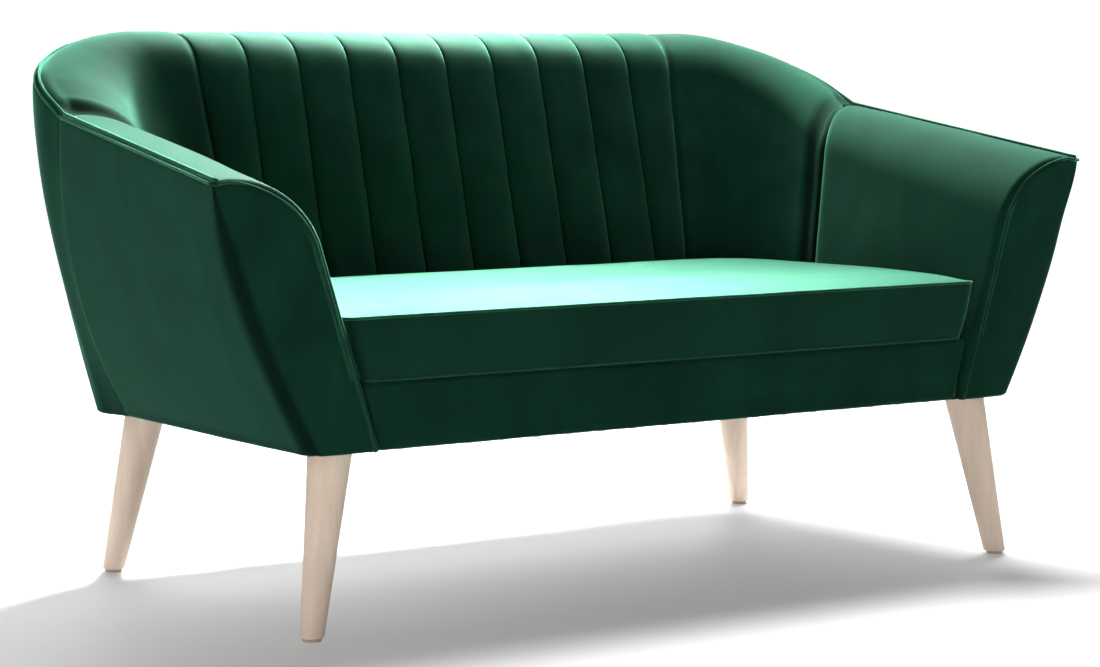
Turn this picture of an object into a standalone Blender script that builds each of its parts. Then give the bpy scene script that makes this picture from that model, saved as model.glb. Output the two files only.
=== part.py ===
"""Two-seat tub sofa: a channelled shell back that wraps into splayed arms, one loose
box cushion and four turned, splayed wooden legs.

+X is the sitter's left seen from the front (the viewer's right), the front faces -Y,
+Z is up. The origin is on the floor under the middle of the overall box.
"""
import math

import bmesh
import bpy
from mathutils import Vector

# ---------------------------------------------------------------- driving dimensions
OVERALL_WIDTH = 1.400        # across the arm tips
OVERALL_DEPTH = 0.710        # arm fronts to the rear of the back
BACK_HEIGHT = 0.757          # crest of the back
ARM_FRONT_HEIGHT = 0.571     # crest of the arm at its tip
ARM_REAR_HEIGHT = 0.649      # crest of the arm where it joins the back
BASE_HEIGHT = 0.2315         # underside of the upholstered body

ARM_REACH = 0.2262           # arm tip to the arm's inner face, at the underside
ARM_LEAN = 0.3036            # outward lean of the inner face, run over rise
ARM_FLARE = 0.123            # outward flare of the outer face, underside to rim
ARM_TOE_IN = 0.018           # how much closer the arms stand at the back
ARM_ROLL = 0.120             # radius of the roll on top of the arm at its tip
ARM_ROLL_REAR = 0.100        # the same roll where the arm joins the back
BACK_REACH = 0.168           # rear plane to the back's face, at cushion height
BACK_LEAN = 0.250            # backward lean of the back's face
BACK_ROLL = 0.0752           # radius of the roll on top of the back
BACK_FLARE = 0.035           # how far the rear face slopes in towards the underside
CORNER_RADIUS = 0.180        # rear corners, plan view, at the rim
JOIN_RUN = 0.045             # straight run of rim between the arm seam and the corner
RISE_RUN = 0.370             # length of rim over which it climbs to the back's crest
INNER_CORNER_X = 0.125       # inner corner where back meets arm, half axes in plan
INNER_CORNER_Y = 0.150
CREST_SETBACK = 0.026        # crest of the roll behind the outer rim
RIM_DROP = 0.002             # rim lies this much lower than the crest
SIDE_SEAM_RAKE = 0.039       # side seam runs this far back from rim to underside
SIDE_BULGE = 2.15            # power of the outer face's curve at the side seam
FACE_BULGE = 1.45            # the same at the arm tip and on the back
BULGE_RUN = 0.100            # rim over which one curve changes into the other

CHANNELS = 10                # padded channels across the back
CORNER_PANEL = 0.286         # plain corner panel, arm tip to the last channel
CHANNEL_TUCK = 0.026         # the last channel narrows by this much at the cushion

CUSHION_THICKNESS = 0.080    # boxing between the two piped edges
CUSHION_CROWN = 0.020
FRONT_SETBACK = 0.010        # cushion and rail behind the arm fronts
CUSHION_GAP = 0.004          # cushion to arms and back
COVER_CLOTH = 0.002          # thickness of the cushion's cover
CUSHION_REST = 0.002         # cushion above the front cover's lip
CUSHION_NOSE = 0.014         # radius of its front corners, plan view
SMALLEST_NOSE = 0.004        # the least either kind of corner closes to
SMALLEST_CORNER = 0.010
CROWN_STEPS = ((0.030, 0.55), (0.080, 0.90), (0.150, 1.00))  # inset, share of crown
ZIP_HALF_LENGTH = 0.200
ZIP_HALF_HEIGHT = 0.004
ZIP_REACH = 0.040            # slot's reach behind the cover's rear face

PAD = 0.035                  # foam and velvet on the inner faces
COVER = 0.006                # velvet on wadding on the outer faces
FRONT_PANEL = 0.014          # upholstered board that closes each arm
RAIL_THICKNESS = 0.025
RAIL_HEIGHT = 0.0755
SIDE_RAIL_HEIGHT = 0.050
FRONT_PAD = 0.0117           # padding in front of the front rail
BLOCK = 0.060                # leg block, square in plan
BLOCK_HEIGHT = 0.040
BLOCK_OUTSET = 0.026         # outer cover to leg block
REAR_BLOCK_SETBACK = 0.004   # rear blocks ahead of the rear rail's back face
FRAME_LIFT = 0.001           # frame above the lower edge of the covers
PAD_OVER_FRAME = 0.002       # arm pad's lower edge above the seat rails
BACK_PAD_RISE = 0.014        # back pad's lower edge above the cushion's underside
ARM_BOARD = 0.018            # plywood in the arms and corner ribs
BOARD_LIFT = 0.002           # arm board above the leg blocks
BOARD_DROP = 0.020           # arm board's top edge below the pad
BOARD_ENDS = (0.01, 0.97)    # shares of the arm between which the board runs
RIB_ENDS = (0.06, 0.94)      # the same for a corner rib
POST_DEPTH = 0.035
POST_WIDTH = 0.022
POST_X = 0.270
POST_ROOM = 0.004            # outer cover to the foot of a post
POST_HEEL = 0.004            # upright part of a post's foot above the rear rail
TOP_RAIL_DEPTH = 0.029
TOP_RAIL_HEIGHT = 0.065
TOP_RAIL_ROOM = 0.010        # outer cover to the top rail
TOP_RAIL_DROP = 0.027        # top rail below the pad
RIB_HEIGHT = 0.040
RIB_LEVEL = 0.545

SPRINGS = 6
SPRING_WIRE = 0.0035
SPRING_SWING = 0.025
SPRING_WAVES = 7
WAVE_POINTS = 6              # points along one wave of the wire
SPRING_END = 0.008           # rail's face to the spring's end
SPRING_MARGIN = 0.055        # arm's inner face to the outermost spring
LIP = 0.0039                 # front cover's lip over the springs
LIP_DEPTH = 0.050
COVER_END_GAP = 0.0018       # front cover's ends to the arms
COVER_END_TAPER = 0.04       # how much faster its ends close in going up
FELT = 0.0029
FELT_SIDE_GAP = 0.010
FELT_REAR_GAP = 0.030

LEG_TOP_RADIUS = 0.028
LEG_FOOT_RADIUS = 0.0152
LEG_SPLAY_OUT = 0.040        # foot outside the leg's top, sideways
LEG_SPLAY_FRONT = 0.022      # front feet ahead of their tops
LEG_SPLAY_REAR = 0.029       # rear feet behind their tops
LEG_OUT_FRONT = 0.0075       # leg's top outside the middle of its block
LEG_OUT_REAR = -0.001
SAW_SPARE = 0.020            # length turned on at each end before sawing level
GLIDE_RADIUS = 0.012
GLIDE_HEIGHT = 0.004
BOLT_RADIUS = 0.004
BOLT_IN_LEG = 0.035
BOLT_IN_BLOCK = 0.034
HOLE_SPARE = 0.001           # hole deeper than the bolt at each end
DUST_CLOTH = 0.0015

GAP = 0.0003                 # between solids that touch
BOARD_EASE = 0.0015          # broken edges of the boards
SMALL_EASE = 0.0008          # broken edges of bolts and glides
SHEET_EASE = 0.0005
FLAT = 1e-6                  # heights closer than this are level
SMOOTH_ANGLE = 40            # degrees; sharper folds stay crisp
BOLT_CLEARANCE = 0.0003
SEAM_GAP = 0.0006            # between neighbouring channels
SEAM_SHARE = 0.004           # share of a panel left open at each sewn end
PAD_EASE = 0.0020            # lower edge of a pad behind the outer cover
COVER_FACETS = 5             # flat bands down an outer cover

# ---------------------------------------------------------------- derived places
HALF_WIDTH = OVERALL_WIDTH / 2
FRONT_Y = -OVERALL_DEPTH / 2
BACK_Y = OVERALL_DEPTH / 2
SEAT_FRONT_Y = FRONT_Y + FRONT_SETBACK
PANEL_BACK_Y = FRONT_Y + FRONT_PANEL
CORNER_Y = BACK_Y - CORNER_RADIUS
JOIN_Y = CORNER_Y - JOIN_RUN
REAR_HALF_WIDTH = HALF_WIDTH - ARM_TOE_IN
BODY_Z = BASE_HEIGHT + FRAME_LIFT
RAIL_TOP = BODY_Z + RAIL_HEIGHT
SPRING_Z = RAIL_TOP + GAP + SPRING_WIRE / 2
DECK_Z = RAIL_TOP + 2 * GAP + SPRING_WIRE
CUSHION_Z = DECK_Z + LIP + CUSHION_REST
CUSHION_EDGE_Z = CUSHION_Z + CUSHION_THICKNESS
ARM_PAD_Z = RAIL_TOP + PAD_OVER_FRAME
BACK_PAD_Z = CUSHION_Z + BACK_PAD_RISE
CHANNEL_FIELD = OVERALL_WIDTH - 2 * CORNER_PANEL
CHANNEL_PITCH = CHANNEL_FIELD / CHANNELS
ARC_RUN = CORNER_RADIUS * math.pi / 2
CORNER_RUN = JOIN_RUN + ARC_RUN + (REAR_HALF_WIDTH - CORNER_RADIUS - CHANNEL_FIELD / 2)
HALF_RUN = JOIN_RUN + ARC_RUN + REAR_HALF_WIDTH - CORNER_RADIUS
BASE_HALF_WIDTH = HALF_WIDTH - ARM_FLARE
BLOCK_OUT_X = BASE_HALF_WIDTH - COVER - BLOCK_OUTSET
BLOCK_IN_X = BLOCK_OUT_X - BLOCK
FRONT_BLOCK_Y = PANEL_BACK_Y + 2 * GAP
REAR_RAIL_BACK_Y = BACK_Y - BACK_FLARE - COVER - GAP - POST_ROOM - POST_DEPTH
REAR_BLOCK_Y = REAR_RAIL_BACK_Y - REAR_BLOCK_SETBACK - BLOCK
DUST_TOP_Z = BASE_HEIGHT - GAP
DUST_Z = DUST_TOP_Z - DUST_CLOTH
LEG_TOP_Z = DUST_Z - GAP
LEAN_ANGLE = math.atan(ARM_LEAN)


# ---------------------------------------------------------------- materials
def make_material(name, colour, roughness, metallic=0.0):
    material = bpy.data.materials.new(name)
    material.use_nodes = True
    shader = material.node_tree.nodes["Principled BSDF"]
    shader.inputs["Base Color"].default_value = (*colour, 1.0)
    shader.inputs["Roughness"].default_value = roughness
    shader.inputs["Metallic"].default_value = metallic
    return material


def make_materials():
    return {
        "velvet": make_material("green_velvet", (0.020, 0.110, 0.065), 0.75),
        "beech": make_material("pale_beech", (0.700, 0.530, 0.390), 0.50),
        "pine": make_material("frame_pine", (0.620, 0.430, 0.240), 0.70),
        "plywood": make_material("birch_plywood", (0.660, 0.500, 0.320), 0.65),
        "foam": make_material("seat_foam", (0.850, 0.800, 0.600), 0.90),
        "steel": make_material("zinc_plated_steel", (0.600, 0.600, 0.580), 0.35, 1.0),
        "felt": make_material("grey_felt", (0.300, 0.300, 0.290), 0.95),
        "cloth": make_material("black_dust_cloth", (0.020, 0.020, 0.020), 0.95),
        "nylon": make_material("black_nylon", (0.030, 0.030, 0.030), 0.50),
    }


# ---------------------------------------------------------------- building helpers
def add_object(name, bm, material, smooth=False):
    """Finish a bmesh as a named object with outward normals."""
    bmesh.ops.recalc_face_normals(bm, faces=bm.faces[:])
    mesh = bpy.data.meshes.new(name)
    bm.to_mesh(mesh)
    bm.free()
    if smooth:
        mesh.shade_smooth()
        mesh.set_sharp_from_angle(angle=math.radians(SMOOTH_ANGLE))
    mesh.materials.append(material)
    obj = bpy.data.objects.new(name, mesh)
    bpy.context.scene.collection.objects.link(obj)
    return obj


def mirror_x(point, side):
    return Vector((point[0] * side, point[1], point[2]))


def add_loft(name, rings, side, material, smooth=True):
    """Skin closed rings of equal, even length and cap both ends with a strip.

    A ring goes up one face and comes down the other, so that point i and point
    -1 - i lie across from each other; the strip of the caps joins those pairs.
    """
    around = len(rings[0])
    along = len(rings) - 1
    bm = bmesh.new()
    bmesh.ops.create_grid(bm, x_segments=around, y_segments=along, size=0.5)
    grid = {}
    for vert in bm.verts:
        i = round((vert.co.x + 0.5) * around)
        j = round((vert.co.y + 0.5) * along)
        vert.co = mirror_x(rings[j][i % around], side)
        grid[i, j] = vert
    closing = {grid[around, j]: grid[0, j] for j in range(along + 1)}
    bmesh.ops.weld_verts(bm, targetmap=closing)
    for j in (0, along):
        for i in range(around // 2 - 1):
            across = (around - 2 - i, around - 1 - i)
            bm.faces.new([grid[k, j] for k in (i, i + 1, *across)])
    return add_object(name, bm, material, smooth)


def add_box(name, low, high, side, material, bevel=BOARD_EASE):
    """A board with eased edges between two corners, mirrored in X if side is -1."""
    ends = sorted((low[0] * side, high[0] * side))
    centre = Vector((sum(ends) / 2, (low[1] + high[1]) / 2, (low[2] + high[2]) / 2))
    size = Vector((ends[1] - ends[0], high[1] - low[1], high[2] - low[2]))
    bm = bmesh.new()
    bmesh.ops.create_cube(bm, size=1.0)
    bmesh.ops.scale(bm, verts=bm.verts[:], vec=size)
    bmesh.ops.translate(bm, verts=bm.verts[:], vec=centre)
    bmesh.ops.bevel(bm, geom=bm.edges[:], offset=bevel, segments=1, profile=0.5,
                    affect="EDGES", material=-1)
    return add_object(name, bm, material)


def add_cylinder(name, radius, low, high, material, segments=16, bevel=0.0):
    """A rod or disc from one point to another."""
    axis = Vector(high) - Vector(low)
    bm = bmesh.new()
    bmesh.ops.create_cone(bm, cap_ends=True, segments=segments, radius1=radius,
                          radius2=radius, depth=axis.length)
    if bevel:
        rims = [e for e in bm.edges if abs(e.verts[0].co.z - e.verts[1].co.z) < FLAT]
        bmesh.ops.bevel(bm, geom=rims, offset=bevel, segments=1, profile=0.5,
                        affect="EDGES", material=-1)
    turn = Vector((0, 0, 1)).rotation_difference(axis.normalized()).to_matrix()
    bmesh.ops.rotate(bm, verts=bm.verts[:], cent=(0, 0, 0), matrix=turn)
    bmesh.ops.translate(bm, verts=bm.verts[:], vec=(Vector(low) + Vector(high)) / 2)
    return add_object(name, bm, material, smooth=True)


def make_cutter(obj):
    obj.hide_render = True
    obj.display_type = "WIRE"
    return obj


def cut(obj, cutter):
    modifier = obj.modifiers.new("cut_" + cutter.name, "BOOLEAN")
    modifier.operation = "DIFFERENCE"
    modifier.solver = "EXACT"
    modifier.object = cutter


def blend(a, b, share):
    return a + (b - a) * share


def steps(low, high, count):
    return [blend(low, high, i / (count - 1)) for i in range(count)]


# ---------------------------------------------------------------- the shell's form
def inner_side_x(z, share):
    """Inner face of the arm; share runs from the arm's front to the back seam."""
    return HALF_WIDTH - ARM_REACH + ARM_LEAN * (z - BASE_HEIGHT) - ARM_TOE_IN * share


def inner_back_y(z):
    return BACK_Y - BACK_REACH + BACK_LEAN * (z - CUSHION_EDGE_Z)


def last_seam_x(z):
    """The outermost channel seam, which tucks in towards the cushion."""
    rise = (z - CUSHION_EDGE_Z) / (BACK_HEIGHT - CUSHION_EDGE_Z)
    return CHANNEL_FIELD / 2 - CHANNEL_TUCK * (1 - min(1, max(0, rise)))


def rim_at(run):
    """Plan point and inward direction of the rim, run metres on from the arm seam."""
    if run < JOIN_RUN:
        return Vector((REAR_HALF_WIDTH, JOIN_Y + run)), Vector((-1, 0))
    if run < JOIN_RUN + ARC_RUN:
        angle = (run - JOIN_RUN) / CORNER_RADIUS
        out = Vector((math.cos(angle), math.sin(angle)))
        centre = Vector((REAR_HALF_WIDTH - CORNER_RADIUS, CORNER_Y))
        return centre + out * CORNER_RADIUS, -out
    x = REAR_HALF_WIDTH - CORNER_RADIUS - (run - JOIN_RUN - ARC_RUN)
    return Vector((x, BACK_Y)), Vector((0, -1))


def back_rim_height(run):
    climb = math.sin(min(1.0, run / RISE_RUN) * math.pi / 2)
    return blend(ARM_REAR_HEIGHT, BACK_HEIGHT, climb)


def arm_station(share):
    """Section of the arm; share runs from the front panel to the back seam."""
    y_rim = blend(PANEL_BACK_Y + GAP, JOIN_Y, share)
    along = (y_rim - FRONT_Y) / (JOIN_Y - FRONT_Y)

    def inner(z):
        y_end = inner_back_y(z) - INNER_CORNER_Y
        y = blend(PANEL_BACK_Y + GAP, y_end, share)
        return Vector((inner_side_x(z, along), y))

    return {
        "rim": Vector((HALF_WIDTH - ARM_TOE_IN * along, y_rim)),
        "inward": Vector((-1, 0)),
        "height": blend(ARM_FRONT_HEIGHT, ARM_REAR_HEIGHT, along),
        "roll": blend(ARM_ROLL, ARM_ROLL_REAR, along),
        "flare": ARM_FLARE - ARM_TOE_IN * along,
        "bulge": blend(FACE_BULGE, SIDE_BULGE, along),
        "rake": SIDE_SEAM_RAKE * share,
        "inner": inner,
    }


def corner_inner(z, share):
    """Plan point on the inner corner, from the arm seam to the last channel seam."""
    room = inner_side_x(z, 1.0) - last_seam_x(z)
    radius_x = min(INNER_CORNER_X, room)
    side_x = inner_side_x(z, 1.0) - radius_x
    back_y = inner_back_y(z)
    arc = math.pi / 4 * (radius_x + INNER_CORNER_Y)
    flat = room - radius_x
    travelled = share * (arc + flat)
    if travelled < arc:
        angle = travelled / arc * math.pi / 2
        x = side_x + radius_x * math.cos(angle)
        y = back_y - INNER_CORNER_Y * (1 - math.sin(angle))
        return Vector((x, y))
    return Vector((side_x - (travelled - arc), back_y))


def shell_station(run, inner):
    """Section of the back at a run along the rim, with its own inner face."""
    rim, inward = rim_at(run)
    turn = min(1.0, run / CORNER_RUN)
    flare = blend(ARM_FLARE - ARM_TOE_IN, BACK_FLARE, turn)
    bulge = blend(SIDE_BULGE, FACE_BULGE, min(1.0, run / BULGE_RUN))
    return {"rim": rim, "inward": inward, "height": back_rim_height(run),
            "roll": blend(ARM_ROLL_REAR, BACK_ROLL, turn), "flare": flare,
            "bulge": bulge, "rake": SIDE_SEAM_RAKE * (1 - turn) ** 2, "inner": inner}


def corner_station(share):
    return shell_station(share * CORNER_RUN, lambda z: corner_inner(z, share))


def channel_station(seam, shift):
    """Section at a channel seam counted from the middle, shifted sideways."""
    def inner(z):
        half = last_seam_x(z) if seam == CHANNELS // 2 else seam * CHANNEL_PITCH
        return Vector((half + shift, inner_back_y(z)))

    station = shell_station(HALF_RUN - seam * CHANNEL_PITCH - shift, inner)
    station["height"] = back_rim_height(HALF_RUN - seam * CHANNEL_PITCH)
    return station


def corner_shares():
    """Stations that the pad, the cover and the dust cloth share round a corner."""
    return steps(SEAM_SHARE, 1.0 - SEAM_SHARE, 9)


def outer_at(station, drop, inset=0.0):
    """Point on the faceted outer face; drop runs from rim (0) to underside (1)."""
    above = min(COVER_FACETS - 1, math.floor(drop * COVER_FACETS + FLAT))
    share = drop * COVER_FACETS - above
    curve = [((above + k) / COVER_FACETS) ** station["bulge"] for k in (0, 1)]
    depth = station["flare"] * blend(curve[0], curve[1], share) + inset
    plan = station["rim"] + station["inward"] * depth
    top = station["height"] - RIM_DROP
    return Vector((plan.x, plan.y + station["rake"] * drop, blend(top, BASE_HEIGHT, drop)))


def roll_points(foot, crest, count, lean):
    """Quarter roll from the leaning face up to the crest, without its first point."""
    points = []
    for i in range(1, count + 1):
        angle = blend(lean, math.pi / 2, i / count)
        across = (math.cos(lean) - math.cos(angle)) / math.cos(lean)
        up = (math.sin(angle) - math.sin(lean)) / (1 - math.sin(lean))
        plan = foot.xy.lerp(crest.xy, across)
        points.append(Vector((plan.x, plan.y, blend(foot.z, crest.z, up))))
    return points


def roll_foot(station):
    z = station["height"] - station["roll"] * (1 - math.sin(LEAN_ANGLE))
    plan = station["inner"](z)
    return Vector((plan.x, plan.y, z))


def pad_ring(station, bottom_z):
    """Closed section of the foam and velvet that cover an inner face and its roll."""
    foot = roll_foot(station)
    rim = station["rim"]
    crest_plan = rim + station["inward"] * CREST_SETBACK
    crest = Vector((crest_plan.x, crest_plan.y, station["height"]))
    out = (rim - foot.xy).normalized()
    face = [Vector((*station["inner"](z), z)) for z in steps(bottom_z, foot.z, 4)]
    front = face + roll_points(foot, crest, 5, LEAN_ANGLE)
    edge = outer_at(station, 0.0, COVER + GAP)
    pad_drop = (PAD - RIM_DROP) / (station["height"] - RIM_DROP - BASE_HEIGHT)
    under_edge = outer_at(station, pad_drop, COVER + PAD_EASE)
    shift = Vector((out.x * math.cos(LEAN_ANGLE), out.y * math.cos(LEAN_ANGLE),
                    -math.sin(LEAN_ANGLE))) * PAD
    under_crest = crest - Vector((0, 0, PAD))
    under = [point + shift for point in face[1:]]
    under_face = [Vector((*(face[0].xy + out * PAD), bottom_z))] + under
    behind = under_face + roll_points(under_face[-1], under_crest, 5, LEAN_ANGLE)
    return front + [edge, under_edge] + behind[::-1]


def cover_ring(station):
    """Closed section of the thin upholstered skin on an outer face."""
    drops = steps(0.0, 1.0, COVER_FACETS + 1)
    outside = [outer_at(station, drop) for drop in drops]
    inside = [outer_at(station, drop, COVER) for drop in drops]
    return outside + inside[::-1]


def wall_middle(station, z):
    """Plan point half way between an inner pad and the outer cover, and its direction."""
    foot = roll_foot(station)
    out = (station["rim"] - foot.xy).normalized()
    pad_back = station["inner"](z) + out * (PAD / math.cos(LEAN_ANGLE))
    drop = (station["height"] - z) / (station["height"] - BASE_HEIGHT)
    cover_face = outer_at(station, drop, COVER).xy
    return (pad_back + cover_face) / 2, out


def board_ring(station, low_z, high_z):
    """Closed section of a plywood board that stands in the middle of the wall."""
    low, out = wall_middle(station, low_z)
    high, _ = wall_middle(station, high_z)
    half = out * (ARM_BOARD / 2)
    corners = [(low - half, low_z), (high - half, high_z),
               (high + half, high_z), (low + half, low_z)]
    return [Vector((plan.x, plan.y, z)) for plan, z in corners]


# ---------------------------------------------------------------- arms
def add_arm(side, tag, materials):
    shares = steps(0.0, 1.0 - SEAM_SHARE, 5)
    pads = [pad_ring(arm_station(share), ARM_PAD_Z) for share in shares]
    add_loft("arm_inner_pad_" + tag, pads, side, materials["velvet"])
    covers = [cover_ring(arm_station(share)) for share in shares]
    add_loft("arm_outer_cover_" + tag, covers, side, materials["velvet"])
    boards = []
    for share in steps(*BOARD_ENDS, 3):
        station = arm_station(share)
        top = station["height"] - PAD - BOARD_DROP
        boards.append(board_ring(station, BODY_Z + BLOCK_HEIGHT + BOARD_LIFT, top))
    add_loft("arm_board_" + tag, boards, side, materials["plywood"], smooth=False)
    add_front_panel(side, tag, materials)


def add_front_panel(side, tag, materials):
    """Upholstered board with the outline of the arm's own section."""
    station = arm_station(0.0)
    foot = roll_foot(station)
    crest_plan = station["rim"] + station["inward"] * CREST_SETBACK
    crest = Vector((crest_plan.x, crest_plan.y, station["height"]))
    face = [Vector((*station["inner"](z), z)) for z in steps(BASE_HEIGHT, foot.z, 3)]
    outside = [outer_at(station, drop) for drop in steps(0.0, 1.0, COVER_FACETS + 1)]
    outline = face + roll_points(foot, crest, 7, LEAN_ANGLE) + outside
    front = [Vector((p.x, FRONT_Y, p.z)) for p in outline]
    back = [Vector((p.x, PANEL_BACK_Y, p.z)) for p in outline]
    add_loft("arm_front_panel_" + tag, [front, back], side, materials["velvet"])


# ---------------------------------------------------------------- back
def add_channels(materials):
    """Padded strips side by side; half of the seam gap comes off each edge."""
    half = CHANNELS // 2
    for number in range(CHANNELS):
        side = -1 if number < half else 1
        near = half - 1 - number if number < half else number - half
        stations = [channel_station(near, SEAM_GAP / 2),
                    channel_station(near + 1, -SEAM_GAP / 2)]
        rings = [pad_ring(station, BACK_PAD_Z) for station in stations]
        add_loft(f"back_channel_{number + 1:02d}", rings, side, materials["velvet"])


def add_back_corner(side, tag, materials):
    shares = corner_shares()
    rings = [pad_ring(corner_station(share), BACK_PAD_Z) for share in shares]
    add_loft("back_corner_pad_" + tag, rings, side, materials["velvet"])
    ribs = []
    for share in steps(*RIB_ENDS, 7):
        station = corner_station(share)
        ribs.append(board_ring(station, RIB_LEVEL, RIB_LEVEL + RIB_HEIGHT))
    add_loft("back_corner_rib_" + tag, ribs, side, materials["plywood"], smooth=False)


def back_cover_rings():
    """Sections of the outer back from the right side seam round to the left one."""
    right = [cover_ring(shell_station(share * CORNER_RUN, None)) for share in corner_shares()]
    middle = cover_ring(shell_station(HALF_RUN, None))
    left = [[mirror_x(point, -1) for point in ring] for ring in right[::-1]]
    return right + [middle] + left


def add_back_frame(materials):
    pine = materials["pine"]
    rail_back = BACK_Y - COVER - TOP_RAIL_ROOM
    rail_low = BACK_HEIGHT - PAD - TOP_RAIL_DROP - TOP_RAIL_HEIGHT
    add_box("back_top_rail", (-CHANNEL_FIELD / 2, rail_back - TOP_RAIL_DEPTH, rail_low),
            (CHANNEL_FIELD / 2, rail_back, rail_low + TOP_RAIL_HEIGHT), 1, pine)
    low_back = REAR_RAIL_BACK_Y + GAP + POST_DEPTH
    foot_top = RAIL_TOP + POST_HEEL
    for side, tag in ((-1, "left"), (1, "right")):
        rings = []
        for x in (POST_X - POST_WIDTH / 2, POST_X + POST_WIDTH / 2):
            rings.append([Vector((x, low_back - POST_DEPTH, BODY_Z)),
                          Vector((x, low_back - POST_DEPTH, foot_top)),
                          Vector((x, rail_back - POST_DEPTH, rail_low - GAP)),
                          Vector((x, rail_back, rail_low - GAP)),
                          Vector((x, low_back, foot_top)),
                          Vector((x, low_back, BODY_Z))])
        add_loft("back_post_" + tag, rings, side, pine, smooth=False)


# ---------------------------------------------------------------- seat frame
def add_seat_frame(materials):
    pine = materials["pine"]
    rail_front = SEAT_FRONT_Y + FRONT_PAD + GAP
    end_x = BLOCK_IN_X - GAP
    add_box("seat_rail_front", (-end_x, rail_front, BODY_Z),
            (end_x, rail_front + RAIL_THICKNESS, RAIL_TOP), 1, pine)
    add_box("seat_rail_rear", (-end_x, REAR_RAIL_BACK_Y - RAIL_THICKNESS, BODY_Z),
            (end_x, REAR_RAIL_BACK_Y, RAIL_TOP), 1, pine)
    add_box("seat_stretcher",
            (-RAIL_THICKNESS / 2, rail_front + RAIL_THICKNESS + GAP, BODY_Z),
            (RAIL_THICKNESS / 2, REAR_RAIL_BACK_Y - RAIL_THICKNESS - GAP,
             BODY_Z + SIDE_RAIL_HEIGHT), 1, pine)
    for side, tag in ((-1, "left"), (1, "right")):
        add_box("seat_rail_" + tag, (BLOCK_IN_X, FRONT_BLOCK_Y + BLOCK + GAP, BODY_Z),
                (BLOCK_IN_X + RAIL_THICKNESS, REAR_BLOCK_Y - GAP,
                 BODY_Z + SIDE_RAIL_HEIGHT), side, pine)


def front_cover_half_width(z):
    return inner_side_x(z, 0.0) - COVER_END_GAP - COVER_END_TAPER * (z - BASE_HEIGHT)


def add_front_cover(materials):
    """Upholstered front of the seat: a padded face with a lip over the springs."""
    face_back = SEAT_FRONT_Y + FRONT_PAD
    lip_top = DECK_Z + LIP
    section = [(SEAT_FRONT_Y, BASE_HEIGHT), (SEAT_FRONT_Y, lip_top),
               (SEAT_FRONT_Y + LIP_DEPTH, lip_top), (SEAT_FRONT_Y + LIP_DEPTH, DECK_Z),
               (face_back, DECK_Z), (face_back, BASE_HEIGHT)]
    rings = []
    for end in (-1, 1):
        rings.append([Vector((end * front_cover_half_width(z), y, z)) for y, z in section])
    add_loft("seat_front_cover", rings, 1, materials["velvet"], smooth=False)


def add_springs(materials):
    """Zigzag wire springs from the front rail to the rear rail."""
    start = SEAT_FRONT_Y + FRONT_PAD + GAP + SPRING_END
    end = REAR_RAIL_BACK_Y - SPRING_END
    spread = 2 * (inner_side_x(SPRING_Z, 1.0) - SPRING_MARGIN)
    count = SPRING_WAVES * WAVE_POINTS
    for number in range(SPRINGS):
        x0 = blend(-spread / 2, spread / 2, number / (SPRINGS - 1))
        curve = bpy.data.curves.new("spring_wire", "CURVE")
        curve.dimensions = "3D"
        curve.bevel_depth = SPRING_WIRE / 2
        curve.bevel_resolution = 0
        curve.use_fill_caps = True
        spline = curve.splines.new("POLY")
        spline.points.add(count)
        for i, point in enumerate(spline.points):
            swing = SPRING_SWING * math.sin((2 * i + 1) * math.pi / WAVE_POINTS)
            point.co = (x0 + swing, blend(start, end, i / count), SPRING_Z, 1)
        curve.materials.append(materials["steel"])
        spring = bpy.data.objects.new(f"seat_spring_{number + 1}", curve)
        bpy.context.scene.collection.objects.link(spring)


def add_deck(materials):
    half = inner_side_x(DECK_Z, 1.0) - FELT_SIDE_GAP
    add_box("spring_felt", (-half, SEAT_FRONT_Y + LIP_DEPTH + GAP, DECK_Z),
            (half, REAR_RAIL_BACK_Y - FELT_REAR_GAP, DECK_Z + FELT), 1, materials["felt"], SHEET_EASE)


# ---------------------------------------------------------------- legs
def leg_places():
    """Name, plan point of the leg's top centre, and its splay."""
    front_y = FRONT_BLOCK_Y + BLOCK / 2
    rear_y = REAR_BLOCK_Y + BLOCK / 2
    x = (BLOCK_IN_X + BLOCK_OUT_X) / 2
    places = []
    for side, tag in ((-1, "left"), (1, "right")):
        places.append(("front_" + tag, Vector((side * (x + LEG_OUT_FRONT), front_y)),
                       Vector((side * LEG_SPLAY_OUT, -LEG_SPLAY_FRONT))))
        places.append(("rear_" + tag, Vector((side * (x + LEG_OUT_REAR), rear_y)),
                       Vector((side * LEG_SPLAY_OUT, LEG_SPLAY_REAR))))
    return places


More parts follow.
